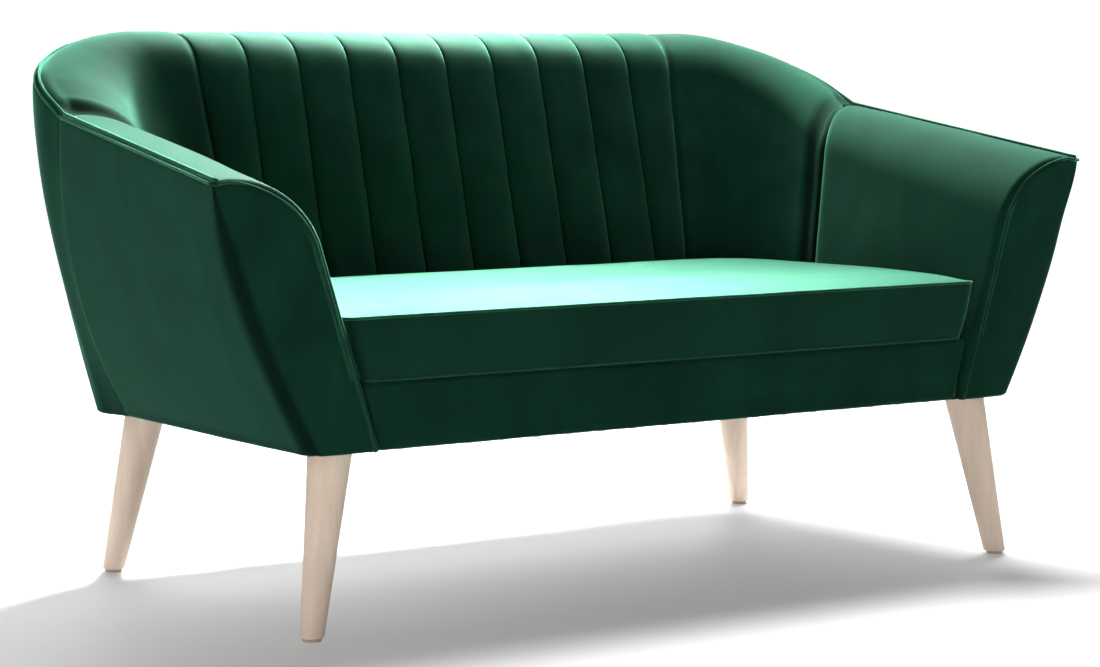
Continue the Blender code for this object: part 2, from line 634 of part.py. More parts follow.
def add_leg(name, top, splay, materials):
    """Tapered leg turned round its raked axis and sawn level at both ends."""
    foot_z = GLIDE_HEIGHT + GAP
    head = Vector((top.x, top.y, LEG_TOP_Z))
    foot = Vector((top.x + splay.x, top.y + splay.y, foot_z))
    axis = (head - foot).normalized()
    taper = (LEG_TOP_RADIUS - LEG_FOOT_RADIUS) / (head - foot).length
    low = foot - axis * SAW_SPARE
    high = head + axis * SAW_SPARE
    bm = bmesh.new()
    bmesh.ops.create_cone(bm, cap_ends=True, segments=20, depth=(high - low).length,
                          radius1=LEG_FOOT_RADIUS - taper * SAW_SPARE,
                          radius2=LEG_TOP_RADIUS + taper * SAW_SPARE)
    turn = Vector((0, 0, 1)).rotation_difference(axis).to_matrix()
    bmesh.ops.rotate(bm, verts=bm.verts[:], cent=(0, 0, 0), matrix=turn)
    bmesh.ops.translate(bm, verts=bm.verts[:], vec=(low + high) / 2)
    for level, normal in ((LEG_TOP_Z, 1), (foot_z, -1)):
        geometry = bm.verts[:] + bm.edges[:] + bm.faces[:]
        bmesh.ops.bisect_plane(bm, geom=geometry, plane_co=(0, 0, level), dist=FLAT,
                               plane_no=(0, 0, normal), clear_outer=True)
        open_edges = [edge for edge in bm.edges if edge.is_boundary]
        bmesh.ops.holes_fill(bm, edges=open_edges, sides=0)
    leg = add_object("leg_" + name, bm, materials["beech"], smooth=True)
    add_cylinder("leg_bolt_" + name, BOLT_RADIUS, head - axis * BOLT_IN_LEG,
                 head + axis * BOLT_IN_BLOCK, materials["steel"], 12, SMALL_EASE)
    hole = add_cylinder("bolt_hole_" + name, BOLT_RADIUS + BOLT_CLEARANCE,
                        head - axis * (BOLT_IN_LEG + HOLE_SPARE),
                        head + axis * (BOLT_IN_BLOCK + HOLE_SPARE), materials["steel"], 12)
    make_cutter(hole)
    cut(leg, hole)
    add_cylinder("leg_glide_" + name, GLIDE_RADIUS, (foot.x, foot.y, 0.0),
                 (foot.x, foot.y, GLIDE_HEIGHT), materials["nylon"], 16, SMALL_EASE)
    return hole


def add_leg_block(name, top, materials):
    side = 1 if top.x > 0 else -1
    y = FRONT_BLOCK_Y if name.startswith("front") else REAR_BLOCK_Y
    return add_box("leg_block_" + name, (BLOCK_IN_X, y, BODY_Z),
                   (BLOCK_OUT_X, y + BLOCK, BODY_Z + BLOCK_HEIGHT), side,
                   materials["pine"])


def add_dust_cloth(materials):
    """Black cloth stapled under the body, cut to the outline of the underside."""
    outline = [Vector((BASE_HALF_WIDTH - COVER, PANEL_BACK_Y))]
    for share in corner_shares():
        station = shell_station(share * CORNER_RUN, None)
        outline.append(outer_at(station, 1.0, COVER).xy)
    left = [Vector((-point.x, point.y)) for point in outline[::-1]]
    rings = []
    for z in (DUST_Z, DUST_TOP_Z):
        rings.append([Vector((point.x, point.y, z)) for point in outline + left])
    return add_loft("dust_cloth", rings, 1, materials["cloth"], smooth=False)


def add_legs(materials):
    cloth = add_dust_cloth(materials)
    for name, top, splay in leg_places():
        block = add_leg_block(name, top, materials)
        hole = add_leg(name, top, splay, materials)
        cut(block, hole)
        cut(cloth, hole)


# ---------------------------------------------------------------- seat cushion
def cushion_ring(z, inset):
    """Outline of the cushion at a height, drawn in by an inset."""
    draw_in = inset + CUSHION_GAP
    front_x = inner_side_x(z, 0.0) - draw_in
    rear_x = inner_side_x(z, 1.0) - draw_in
    front_y = SEAT_FRONT_Y + inset
    back_y = inner_back_y(z) - draw_in
    nose = max(SMALLEST_NOSE, CUSHION_NOSE - inset)
    radius_x = max(SMALLEST_CORNER, INNER_CORNER_X - draw_in)
    radius_y = max(SMALLEST_CORNER, INNER_CORNER_Y - draw_in)
    right = []
    for angle in (0, 45, 90):
        turn = math.radians(angle)
        right.append((front_x - nose + nose * math.sin(turn),
                      front_y + nose - nose * math.cos(turn)))
    for angle in (0, 18, 36, 54, 72, 90):
        turn = math.radians(angle)
        right.append((rear_x - radius_x * (1 - math.cos(turn)),
                      back_y - radius_y * (1 - math.sin(turn))))
    left = [(-x, y) for x, y in right[::-1]]
    return [Vector((x, y, z)) for x, y in right + left]


def cushion_rings(skin):
    """Rings from the underside to the crown, drawn in by a skin thickness."""
    top = CUSHION_EDGE_Z - skin
    rings = [cushion_ring(CUSHION_Z + skin, skin), cushion_ring(top, skin)]
    for inset, rise in CROWN_STEPS:
        ring = cushion_ring(CUSHION_EDGE_Z, inset + skin)
        for point in ring:
            point.z = top + CUSHION_CROWN * rise
        rings.append(ring)
    return rings


def add_cushion(materials):
    """Foam block in a sewn cover that opens with a slot for the zip at the rear."""
    foam_skin = COVER_CLOTH + GAP
    add_loft("seat_cushion_foam", cushion_rings(foam_skin), 1, materials["foam"])
    cover = add_loft("seat_cushion_cover", cushion_rings(0.0), 1, materials["velvet"])
    cavity = add_loft("cushion_cavity", cushion_rings(COVER_CLOTH), 1, materials["foam"])
    back_y = inner_back_y(CUSHION_Z) - CUSHION_GAP
    zip_z = CUSHION_Z + CUSHION_THICKNESS / 2
    slot = add_box("cushion_zip_slot",
                   (-ZIP_HALF_LENGTH, back_y - COVER_CLOTH, zip_z - ZIP_HALF_HEIGHT),
                   (ZIP_HALF_LENGTH, back_y + ZIP_REACH, zip_z + ZIP_HALF_HEIGHT),
                   1, materials["foam"], SHEET_EASE)
    cut(cover, make_cutter(cavity))
    cut(cover, make_cutter(slot))


def main():
    for obj in list(bpy.data.objects):
        bpy.data.objects.remove(obj)
    materials = make_materials()
    add_seat_frame(materials)
    add_legs(materials)
    add_springs(materials)
    add_deck(materials)
    add_front_cover(materials)
    for side, tag in ((-1, "left"), (1, "right")):
        add_arm(side, tag, materials)
        add_back_corner(side, tag, materials)
    add_channels(materials)
    add_loft("outer_back_cover", back_cover_rings(), 1, materials["velvet"])
    add_back_frame(materials)
    add_cushion(materials)


main()
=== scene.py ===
"""Two-seat tub sofa in green velvet: splayed arms with double welts, a channelled back
that wraps into them, one loose box cushion and four turned beech legs.

Everything is in metres. +X is the viewer's right, the front faces -Y, +Z is up.
"""
import math

import bmesh
import bpy
from mathutils import Matrix, Vector, noise
from mathutils.bvhtree import BVHTree


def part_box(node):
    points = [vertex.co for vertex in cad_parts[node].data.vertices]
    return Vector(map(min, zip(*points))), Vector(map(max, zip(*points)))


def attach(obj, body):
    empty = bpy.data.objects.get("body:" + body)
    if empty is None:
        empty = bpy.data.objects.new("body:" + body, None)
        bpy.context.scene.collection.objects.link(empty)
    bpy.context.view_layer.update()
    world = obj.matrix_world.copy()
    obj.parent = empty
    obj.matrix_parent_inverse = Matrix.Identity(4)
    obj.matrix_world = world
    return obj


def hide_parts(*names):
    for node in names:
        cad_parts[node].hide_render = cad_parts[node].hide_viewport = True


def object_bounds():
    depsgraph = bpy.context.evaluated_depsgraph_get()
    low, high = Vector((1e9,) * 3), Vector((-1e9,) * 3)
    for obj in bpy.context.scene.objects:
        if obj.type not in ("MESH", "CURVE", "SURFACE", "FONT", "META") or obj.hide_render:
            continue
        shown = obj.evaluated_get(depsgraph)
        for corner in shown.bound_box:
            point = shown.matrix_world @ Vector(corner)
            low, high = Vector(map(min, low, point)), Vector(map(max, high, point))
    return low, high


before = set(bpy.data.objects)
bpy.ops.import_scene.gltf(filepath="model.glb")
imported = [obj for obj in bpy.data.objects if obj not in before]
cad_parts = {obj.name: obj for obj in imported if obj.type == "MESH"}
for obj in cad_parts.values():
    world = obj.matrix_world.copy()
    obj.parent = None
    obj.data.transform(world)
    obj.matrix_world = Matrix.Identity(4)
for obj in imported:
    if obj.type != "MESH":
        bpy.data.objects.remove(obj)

# ---------------------------------------------------------------- sizes from the frame
FRAME_LOW, FRAME_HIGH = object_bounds()
HALF_WIDTH = FRAME_HIGH.x
FRONT_Y = FRAME_LOW.y
BACK_Y = FRAME_HIGH.y
CREST_Z = FRAME_HIGH.z
BASE_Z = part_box("arm_outer_cover_right")[0].z
TIP_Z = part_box("arm_front_panel_right")[1].z
CUSHION_LOW, CUSHION_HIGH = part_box("seat_cushion_cover")
COVER_LOW, COVER_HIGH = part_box("seat_front_cover")
DECK_LOW, DECK_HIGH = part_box("spring_felt")
CLOTH_LOW, CLOTH_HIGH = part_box("dust_cloth")
SEAT_FRONT_Y = COVER_LOW.y

# ---------------------------------------------------------------- shape of the shell
JOIN_Z = 0.649               # crest of the arm where it meets the back
ARM_REACH = 0.2262           # arm tip to the arm's inner face, at the underside
ARM_LEAN = 0.3036            # outward lean of the inner face
ARM_FLARE = 0.123            # outward flare of the outer face
ARM_TOE_IN = 0.018           # arms stand closer together at the back
ARM_ROLL = 0.120             # roll on top of the arm, at its tip and at its rear
ARM_ROLL_REAR = 0.100
BACK_REACH = 0.168           # rear plane to the back's face at cushion height
BACK_LEAN = 0.250
BACK_ROLL = 0.0752
BACK_FLARE = 0.035
CORNER_RADIUS = 0.180
JOIN_RUN = 0.045
RISE_RUN = 0.370             # rim over which the back climbs to its crest
INNER_CORNER_X = 0.125
INNER_CORNER_Y = 0.150
CREST_SETBACK = 0.026
SIDE_SEAM_RAKE = 0.039
SIDE_BULGE = 2.15
FACE_BULGE = 1.45
BULGE_RUN = 0.100
CHANNELS = 10
CORNER_PANEL = 0.286
CHANNEL_TUCK = 0.026
CUSHION_EDGE_Z = 0.398       # piped upper edge of the cushion
LEAN_ANGLE = math.atan(ARM_LEAN)

# ---------------------------------------------------------------- sewing details
PAINTED_SHADE = "painted_seam_shade"     # attribute: painted shade, 1 where a seam or a fold is darkened
WELT_RADIUS = 0.0020         # each of the two cords of a double welt
SEAM_CORD = 0.0013           # single cord in the side and cushion seams
PIPING_RADIUS = 0.0021       # piping round the cushion's upper edge
CHANNEL_DEPTH = 0.0042       # seam below the face of a channel
PAD_SKIN = 0.012             # thickness given to the padded skins
COVER_SKIN = 0.004
FRONT_EDGE = 0.009           # rounding of the arm pad's front edge
REAR_EDGE = 0.022            # rounding of its rear end
REAR_TUCK = 0.008            # the back's corner dips this far under the arm pad
FOLD_GROOVE = 0.0022         # the fold's middle lies this far in
FOLD_RADIUS = 0.020          # soft fold where the arm's front turns into its side
HEM_RADIUS = 0.006           # covers turn in under the frame with this radius

# ---------------------------------------------------------------- derived places
CORNER_Y = BACK_Y - CORNER_RADIUS
JOIN_Y = CORNER_Y - JOIN_RUN
REAR_HALF = HALF_WIDTH - ARM_TOE_IN
CHANNEL_FIELD = 2 * HALF_WIDTH - 2 * CORNER_PANEL
CHANNEL_PITCH = CHANNEL_FIELD / CHANNELS
ARC_RUN = CORNER_RADIUS * math.pi / 2
CORNER_RUN = JOIN_RUN + ARC_RUN + REAR_HALF - CORNER_RADIUS - CHANNEL_FIELD / 2
HALF_RUN = JOIN_RUN + ARC_RUN + REAR_HALF - CORNER_RADIUS
SIDES = ((-1, "left"), (1, "right"))


def blend(a, b, share):
    return a + (b - a) * share


def clamp(value, low=0.0, high=1.0):
    return max(low, min(high, value))


def ease(value):
    value = clamp(value)
    return value * value * (3 - 2 * value)


def spread(low, high, count):
    return [blend(low, high, i / (count - 1)) for i in range(count)]


def mirrored(point, side):
    return Vector((point[0] * side, point[1], point[2]))


# ---------------------------------------------------------------- the shell's form
def inner_side_x(z, share):
    return HALF_WIDTH - ARM_REACH + ARM_LEAN * (z - BASE_Z) - ARM_TOE_IN * share


def inner_back_y(z):
    return BACK_Y - BACK_REACH + BACK_LEAN * (z - CUSHION_EDGE_Z)


def last_seam_x(z):
    rise = (z - CUSHION_EDGE_Z) / (CREST_Z - CUSHION_EDGE_Z)
    return CHANNEL_FIELD / 2 - CHANNEL_TUCK * (1 - clamp(rise))


def rim_at(run):
    """Plan point and inward direction of the rim, run metres on from the arm seam."""
    if run < JOIN_RUN:
        return Vector((REAR_HALF, JOIN_Y + run)), Vector((-1, 0))
    if run < JOIN_RUN + ARC_RUN:
        angle = (run - JOIN_RUN) / CORNER_RADIUS
        out = Vector((math.cos(angle), math.sin(angle)))
        centre = Vector((REAR_HALF - CORNER_RADIUS, CORNER_Y))
        return centre + out * CORNER_RADIUS, -out
    x = REAR_HALF - CORNER_RADIUS - (run - JOIN_RUN - ARC_RUN)
    return Vector((x, BACK_Y)), Vector((0, -1))


def rim_height(run):
    return blend(JOIN_Z, CREST_Z, math.sin(clamp(run / RISE_RUN) * math.pi / 2))


def arm_station(share):
    """Section of the arm; share runs from its front face to the seam with the back."""
    y_rim = blend(FRONT_Y, JOIN_Y, share)

    def inner(z):
        y = blend(FRONT_Y, inner_back_y(z) - INNER_CORNER_Y - 0.010, share)
        return Vector((inner_side_x(z, share), y))

    return {"rim": Vector((HALF_WIDTH - ARM_TOE_IN * share, y_rim)),
            "inward": Vector((-1, 0)), "height": blend(TIP_Z, JOIN_Z, share),
            "roll": blend(ARM_ROLL, ARM_ROLL_REAR, share),
            "flare": ARM_FLARE - ARM_TOE_IN * share,
            "bulge": blend(FACE_BULGE, SIDE_BULGE, share),
            "rake": SIDE_SEAM_RAKE * share, "inner": inner}


def corner_inner(z, share):
    room = inner_side_x(z, 1.0) - last_seam_x(z)
    radius_x = min(INNER_CORNER_X, room)
    side_x = inner_side_x(z, 1.0) - radius_x
    back_y = inner_back_y(z)
    arc = math.pi / 4 * (radius_x + INNER_CORNER_Y)
    flat = room - radius_x
    travelled = share * (arc + flat)
    if travelled < arc:
        angle = travelled / arc * math.pi / 2
        x = side_x + radius_x * math.cos(angle)
        return Vector((x, back_y - INNER_CORNER_Y * (1 - math.sin(angle))))
    return Vector((side_x - (travelled - arc), back_y))


def shell_station(run, inner):
    rim, inward = rim_at(run)
    turn = clamp(run / CORNER_RUN)
    flare = blend(ARM_FLARE - ARM_TOE_IN, BACK_FLARE, turn)
    bulge = blend(SIDE_BULGE, FACE_BULGE, clamp(run / BULGE_RUN))
    return {"rim": rim, "inward": inward, "height": rim_height(run),
            "roll": blend(ARM_ROLL_REAR, BACK_ROLL, turn), "flare": flare,
            "bulge": bulge, "rake": SIDE_SEAM_RAKE * (1 - turn) ** 2, "inner": inner}


def corner_station(share):
    return shell_station(max(0.0, share) * CORNER_RUN, lambda z: corner_inner(z, share))


def channel_station(seams):
    """Section of the channelled back; seams counts channel widths from the middle."""
    def inner(z):
        half = seams * CHANNEL_PITCH
        if seams > CHANNELS / 2 - 1:
            past = seams - (CHANNELS / 2 - 1)
            half = blend((CHANNELS / 2 - 1) * CHANNEL_PITCH, last_seam_x(z), past)
        return Vector((half, inner_back_y(z)))

    return shell_station(HALF_RUN - seams * CHANNEL_PITCH, inner)


def outer_at(station, drop, inset=0.0):
    """Point on the outer face; drop runs from the rim (0) to the underside (1)."""
    depth = station["flare"] * drop ** station["bulge"] + inset
    plan = station["rim"] + station["inward"] * depth
    top = station["height"] - 0.003
    return Vector((plan.x, plan.y + station["rake"] * drop, blend(top, BASE_Z, drop)))


def pad_profile(station, bottom_z, face_rows, roll_rows, lip_rows):
    """Points up the padded face, round the roll and on to the rim."""
    foot_z = station["height"] - station["roll"] * (1 - math.sin(LEAN_ANGLE))
    foot = station["inner"](foot_z)
    crest = station["rim"] + station["inward"] * CREST_SETBACK
    points = [Vector((*station["inner"](z), z)) for z in spread(bottom_z, foot_z, face_rows)]
    for i in range(1, roll_rows + 1):
        angle = blend(LEAN_ANGLE, math.pi / 2, i / roll_rows)
        across = (math.cos(LEAN_ANGLE) - math.cos(angle)) / math.cos(LEAN_ANGLE)
        up = (math.sin(angle) - math.sin(LEAN_ANGLE)) / (1 - math.sin(LEAN_ANGLE))
        plan = foot.lerp(crest, across)
        points.append(Vector((plan.x, plan.y, blend(foot_z, station["height"], up))))
    for i in range(1, lip_rows + 1):
        along = i / lip_rows
        plan = crest.lerp(station["rim"] + station["inward"] * 0.003, along)
        points.append(Vector((plan.x, plan.y, station["height"] - 0.004 * along ** 2)))
    return points


# ---------------------------------------------------------------- mesh helpers
def grid_mesh(columns):
    """A sheet of faces through columns of points, with each vertex's column and row."""
    across, up = len(columns) - 1, len(columns[0]) - 1
    bm = bmesh.new()
    # layer for the painted shade that darkens seams and folds
    bm.verts.layers.float.new(PAINTED_SHADE)
    bmesh.ops.create_grid(bm, x_segments=across, y_segments=up, size=0.5)
    marks = {}
    for vert in bm.verts:
        i = round((vert.co.x + 0.5) * across)
        j = round((vert.co.y + 0.5) * up)
        vert.co = columns[i][j]
        marks[vert] = (i, j)
    return bm, marks


def face_towards(bm, direction):
    """Turn an open sheet's faces over if they point away from a direction."""
    bm.normal_update()
    total = sum((face.normal * face.calc_area() for face in bm.faces), Vector())
    if total.dot(Vector(direction)) < 0:
        bmesh.ops.reverse_faces(bm, faces=bm.faces[:])
    bm.normal_update()


def push_out(bm, amount):
    """Move every vertex along its normal by amount(position)."""
    bm.normal_update()
    moves = [(vert, vert.normal * amount(vert.co)) for vert in bm.verts]
    for vert, move in moves:
        vert.co += move


def make_piece(name, bm, material, body="sofa", smooth=True):
    mesh = bpy.data.meshes.new(name)
    bm.to_mesh(mesh)
    bm.free()
    if smooth:
        mesh.shade_smooth()
    mesh.materials.append(material)
    piece = bpy.data.objects.new(name, mesh)
    bpy.context.scene.collection.objects.link(piece)
    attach(piece, body)
    return piece


def thicken(piece, thickness):
    """Give an open skin its thickness, inwards from the face that shows."""
    wall = piece.modifiers.new("skin", "SOLIDIFY")
    wall.thickness = thickness
    wall.offset = -1
    wall.use_rim = True
    return piece


def make_cord(name, points, radius, material, body="sofa", closed=False):
    """A sewn cord of round section along a line of points."""
    curve = bpy.data.curves.new(name, "CURVE")
    curve.dimensions = "3D"
    curve.bevel_depth = radius
    curve.bevel_resolution = 3
    curve.use_fill_caps = not closed
    spline = curve.splines.new("POLY")
    spline.points.add(len(points) - 1)
    spline.use_cyclic_u = closed
    for point, place in zip(spline.points, points):
        point.co = (*place, 1)
    line = bpy.data.objects.new(name, curve)
    mesh = bpy.data.meshes.new_from_object(line)
    bpy.data.objects.remove(line)
    bm = bmesh.new()
    bm.from_mesh(mesh)
    bmesh.ops.remove_doubles(bm, verts=bm.verts[:], dist=1e-6)
    bmesh.ops.recalc_face_normals(bm, faces=bm.faces[:])
    bpy.data.meshes.remove(mesh)
    return make_piece(name, bm, material, body)


def rounded_end(distance, radius):
    """How far a padded face has fallen away at a distance from its sewn end."""
    if distance >= radius:
        return 0.0
    share = 1 - max(0.0, distance) / radius
    return radius * (1 - math.sqrt(max(0.0, 1 - share * share)))


def crush(place, size, depth):
    """Shallow unevenness of hand-pulled upholstery."""
    return depth * noise.noise(place / size)


# ---------------------------------------------------------------- material groups
def new_group(name, inputs, outputs):
    """An empty shader node group; inputs are (name, kind, value), outputs (name, kind)."""
    group = bpy.data.node_groups.new(name, "ShaderNodeTree")
    for label, kind, value in inputs:
        socket = group.interface.new_socket(label, in_out="INPUT", socket_type=kind)
        if value is not None:
            socket.default_value = value
    for label, kind in outputs:
        group.interface.new_socket(label, in_out="OUTPUT", socket_type=kind)
    return group, group.nodes.new("NodeGroupInput"), group.nodes.new("NodeGroupOutput")


def math_node(tree, operation, first, second):
    node = tree.nodes.new("ShaderNodeMath")
    node.operation = operation
    for socket, value in zip(node.inputs, (first, second)):
        if isinstance(value, (int, float)):
            socket.default_value = value
        else:
            tree.links.new(value, socket)
    return node.outputs[0]


def mix_colours(tree, share, first, second):
    node = tree.nodes.new("ShaderNodeMix")
    node.data_type = "RGBA"
    tree.links.new(share, node.inputs["Factor"])
    tree.links.new(first, node.inputs["A"])
    tree.links.new(second, node.inputs["B"])
    return node.outputs["Result"]


def noise_node(tree, vector, scale, detail=3.0, distortion=0.0):
    node = tree.nodes.new("ShaderNodeTexNoise")
    tree.links.new(vector, node.inputs["Vector"])
    if isinstance(scale, (int, float)):
        node.inputs["Scale"].default_value = scale
    else:
        tree.links.new(scale, node.inputs["Scale"])
    node.inputs["Detail"].default_value = detail
    node.inputs["Distortion"].default_value = distortion
    return node.outputs["Fac"]


def ranged(tree, value, low, high, to_low, to_high):
    node = tree.nodes.new("ShaderNodeMapRange")
    tree.links.new(value, node.inputs["Value"])
    for label, number in (("From Min", low), ("From Max", high),
                          ("To Min", to_low), ("To Max", to_high)):
        node.inputs[label].default_value = number
    return node.outputs["Result"]


def stretched(tree, vector, scale):
    node = tree.nodes.new("ShaderNodeMapping")
    tree.links.new(vector, node.inputs["Vector"])
    node.inputs["Scale"].default_value = scale
    return node.outputs["Vector"]


def make_velvet_group():
    """Pile that lies in brushed patches, with fine fibres."""
    group, start, end = new_group(
        "velvet_pile",
        [("Vector", "NodeSocketVector", None), ("Deep", "NodeSocketColor", None),
         ("Brushed", "NodeSocketColor", None), ("Patch Scale", "NodeSocketFloat", 6.0)],
        [("Colour", "NodeSocketColor"), ("Roughness", "NodeSocketFloat"),
         ("Height", "NodeSocketFloat")])
    vector = start.outputs["Vector"]
    patches = noise_node(group, vector, start.outputs["Patch Scale"], 4.0, 0.8)
    strokes = noise_node(group, stretched(group, vector, (26.0, 26.0, 5.0)), 1.0, 3.0, 0.4)
    fibres = noise_node(group, vector, 1100.0, 2.0)
    loose = math_node(group, "MULTIPLY", patches, 0.65)
    brushed = math_node(group, "ADD", loose, math_node(group, "MULTIPLY", strokes, 0.35))
    share = ranged(group, brushed, 0.36, 0.66, 0.0, 1.0)
    speck = math_node(group, "MULTIPLY", math_node(group, "SUBTRACT", fibres, 0.5), 0.35)
    share = math_node(group, "ADD", share, speck)
    colour = mix_colours(group, share, start.outputs["Deep"], start.outputs["Brushed"])
    group.links.new(colour, end.inputs["Colour"])
    group.links.new(ranged(group, brushed, 0.3, 0.7, 0.82, 0.96), end.inputs["Roughness"])
    soft = math_node(group, "MULTIPLY", brushed, 0.8)
    group.links.new(math_node(group, "ADD", fibres, soft), end.inputs["Height"])
    return group


def make_wood_group():
    """Long grain that runs up Z, with pores and a slow change of tone."""
    group, start, end = new_group(
        "wood_grain",
        [("Vector", "NodeSocketVector", None), ("Light", "NodeSocketColor", None),
         ("Dark", "NodeSocketColor", None), ("Grain Scale", "NodeSocketFloat", 60.0)],
        [("Colour", "NodeSocketColor"), ("Roughness", "NodeSocketFloat"),
         ("Height", "NodeSocketFloat")])
    vector = start.outputs["Vector"]
    grain = noise_node(group, stretched(group, vector, (1.0, 1.0, 0.07)),
                       start.outputs["Grain Scale"], 5.0, 0.6)
    pores = noise_node(group, stretched(group, vector, (900.0, 900.0, 70.0)), 1.0, 2.0)
    tone = noise_node(group, vector, 9.0, 2.0)
    figure = math_node(group, "ADD", math_node(group, "MULTIPLY", grain, 0.7),
                       math_node(group, "MULTIPLY", tone, 0.3))
    pits = ranged(group, pores, 0.56, 0.70, 0.0, 0.5)
    share = math_node(group, "ADD", ranged(group, figure, 0.40, 0.64, 0.0, 1.0), pits)
    colour = mix_colours(group, share, start.outputs["Light"], start.outputs["Dark"])
    group.links.new(colour, end.inputs["Colour"])
    group.links.new(ranged(group, figure, 0.3, 0.7, 0.42, 0.58), end.inputs["Roughness"])
    group.links.new(math_node(group, "SUBTRACT", grain, pits), end.inputs["Height"])
    return group


def make_weave_group():
    """Crossed threads with uneven dyeing, for plain cloth, tape and felt."""
    group, start, end = new_group(
        "plain_weave",
        [("Vector", "NodeSocketVector", None), ("Yarn", "NodeSocketColor", None),
         ("Shade", "NodeSocketColor", None), ("Thread Scale", "NodeSocketFloat", 700.0)],
        [("Colour", "NodeSocketColor"), ("Height", "NodeSocketFloat")])
    threads = []
    for direction in ("X", "Y"):
        wave = group.nodes.new("ShaderNodeTexWave")
        wave.bands_direction = direction
        group.links.new(start.outputs["Vector"], wave.inputs["Vector"])
        group.links.new(start.outputs["Thread Scale"], wave.inputs["Scale"])
        wave.inputs["Distortion"].default_value = 1.5
        threads.append(wave.outputs["Fac"])
    cloth = math_node(group, "MAXIMUM", threads[0], threads[1])
    dye = noise_node(group, start.outputs["Vector"], 25.0, 4.0)
    share = math_node(group, "MULTIPLY", dye, cloth)
    colour = mix_colours(group, share, start.outputs["Shade"], start.outputs["Yarn"])
    group.links.new(colour, end.inputs["Colour"])
    group.links.new(cloth, end.inputs["Height"])
    return group


def make_metal_group():
    """Drawn metal with fine scratches and dull spots."""
    group, start, end = new_group(
        "worn_metal",
        [("Vector", "NodeSocketVector", None), ("Bright", "NodeSocketColor", None),
         ("Dull", "NodeSocketColor", None)],
        [("Colour", "NodeSocketColor"), ("Roughness", "NodeSocketFloat"),
         ("Height", "NodeSocketFloat")])
    spots = noise_node(group, start.outputs["Vector"], 60.0, 5.0)
    lines = noise_node(group, stretched(group, start.outputs["Vector"], (200, 1500, 200)),
                       1.0, 2.0)
    share = ranged(group, spots, 0.45, 0.65, 0.0, 1.0)
    colour = mix_colours(group, share, start.outputs["Bright"], start.outputs["Dull"])
    group.links.new(colour, end.inputs["Colour"])
    group.links.new(ranged(group, spots, 0.4, 0.7, 0.28, 0.5), end.inputs["Roughness"])
    group.links.new(lines, end.inputs["Height"])
    return group


# ---------------------------------------------------------------- materials
def new_material(name, group, colours, strength, distance, scales=()):
    """A material whose colour, roughness and bump come from one of the groups."""
    material = bpy.data.materials.new(name)
    material.use_nodes = True
    tree = material.node_tree
    shader = tree.nodes["Principled BSDF"]
    place = tree.nodes.new("ShaderNodeTexCoord")
    effect = tree.nodes.new("ShaderNodeGroup")
    effect.node_tree = group
    tree.links.new(place.outputs["Object"], effect.inputs["Vector"])
    for label, colour in colours:
        effect.inputs[label].default_value = (*colour, 1.0)
    for label, number in scales:
        effect.inputs[label].default_value = number
    tree.links.new(effect.outputs["Colour"], shader.inputs["Base Color"])
    if "Roughness" in effect.outputs:
        tree.links.new(effect.outputs["Roughness"], shader.inputs["Roughness"])
    bump = tree.nodes.new("ShaderNodeBump")
    bump.inputs["Strength"].default_value = strength
    bump.inputs["Distance"].default_value = distance
    tree.links.new(effect.outputs["Height"], bump.inputs["Height"])
    tree.links.new(bump.outputs["Normal"], shader.inputs["Normal"])
    return material, shader


# painted shade: seams and folds of the velvet are darkened by this share towards near black
PAINTED_SHADE_DEPTH = 0.85
PAINTED_SHADE_COLOUR = (0.0012, 0.0070, 0.0040)


def paint_seam_shade(bm, marks, amount):
    """Store how much painted shade darkens each column and row of a sheet."""
    layer = bm.verts.layers.float[PAINTED_SHADE]
    for vert, (i, j) in marks.items():
        vert[layer] = clamp(amount(i, j))


def make_velvet(name, deep, brushed, sheen, group, patch_scale):
    """Dark pile whose tips catch the light where the cloth is seen along its surface."""
    material, shader = new_material(
        name, group, (("Deep", deep), ("Brushed", brushed)), 0.35, 0.0004,
        (("Patch Scale", patch_scale),))
    tree = material.node_tree
    pile = shader.inputs["Base Color"].links[0].from_socket
    # painted shade: the seam and fold attribute darkens the pile's colour towards near black
    shade_attribute = tree.nodes.new("ShaderNodeAttribute")
    shade_attribute.attribute_name = PAINTED_SHADE
    depth = math_node(tree, "MULTIPLY", shade_attribute.outputs["Fac"], PAINTED_SHADE_DEPTH)
    painted_shade_mix = tree.nodes.new("ShaderNodeMix")
    painted_shade_mix.data_type = "RGBA"
    tree.links.new(depth, painted_shade_mix.inputs["Factor"])
    tree.links.new(pile, painted_shade_mix.inputs["A"])
    painted_shade_mix.inputs["B"].default_value = (*PAINTED_SHADE_COLOUR, 1.0)
    tree.links.new(painted_shade_mix.outputs["Result"], shader.inputs["Base Color"])
    shader.inputs["Specular IOR Level"].default_value = 0.025
    shader.inputs["Sheen Weight"].default_value = sheen
    shader.inputs["Sheen Roughness"].default_value = 0.36
    shader.inputs["Sheen Tint"].default_value = (0.28, 1.0, 0.66, 1.0)
    return material


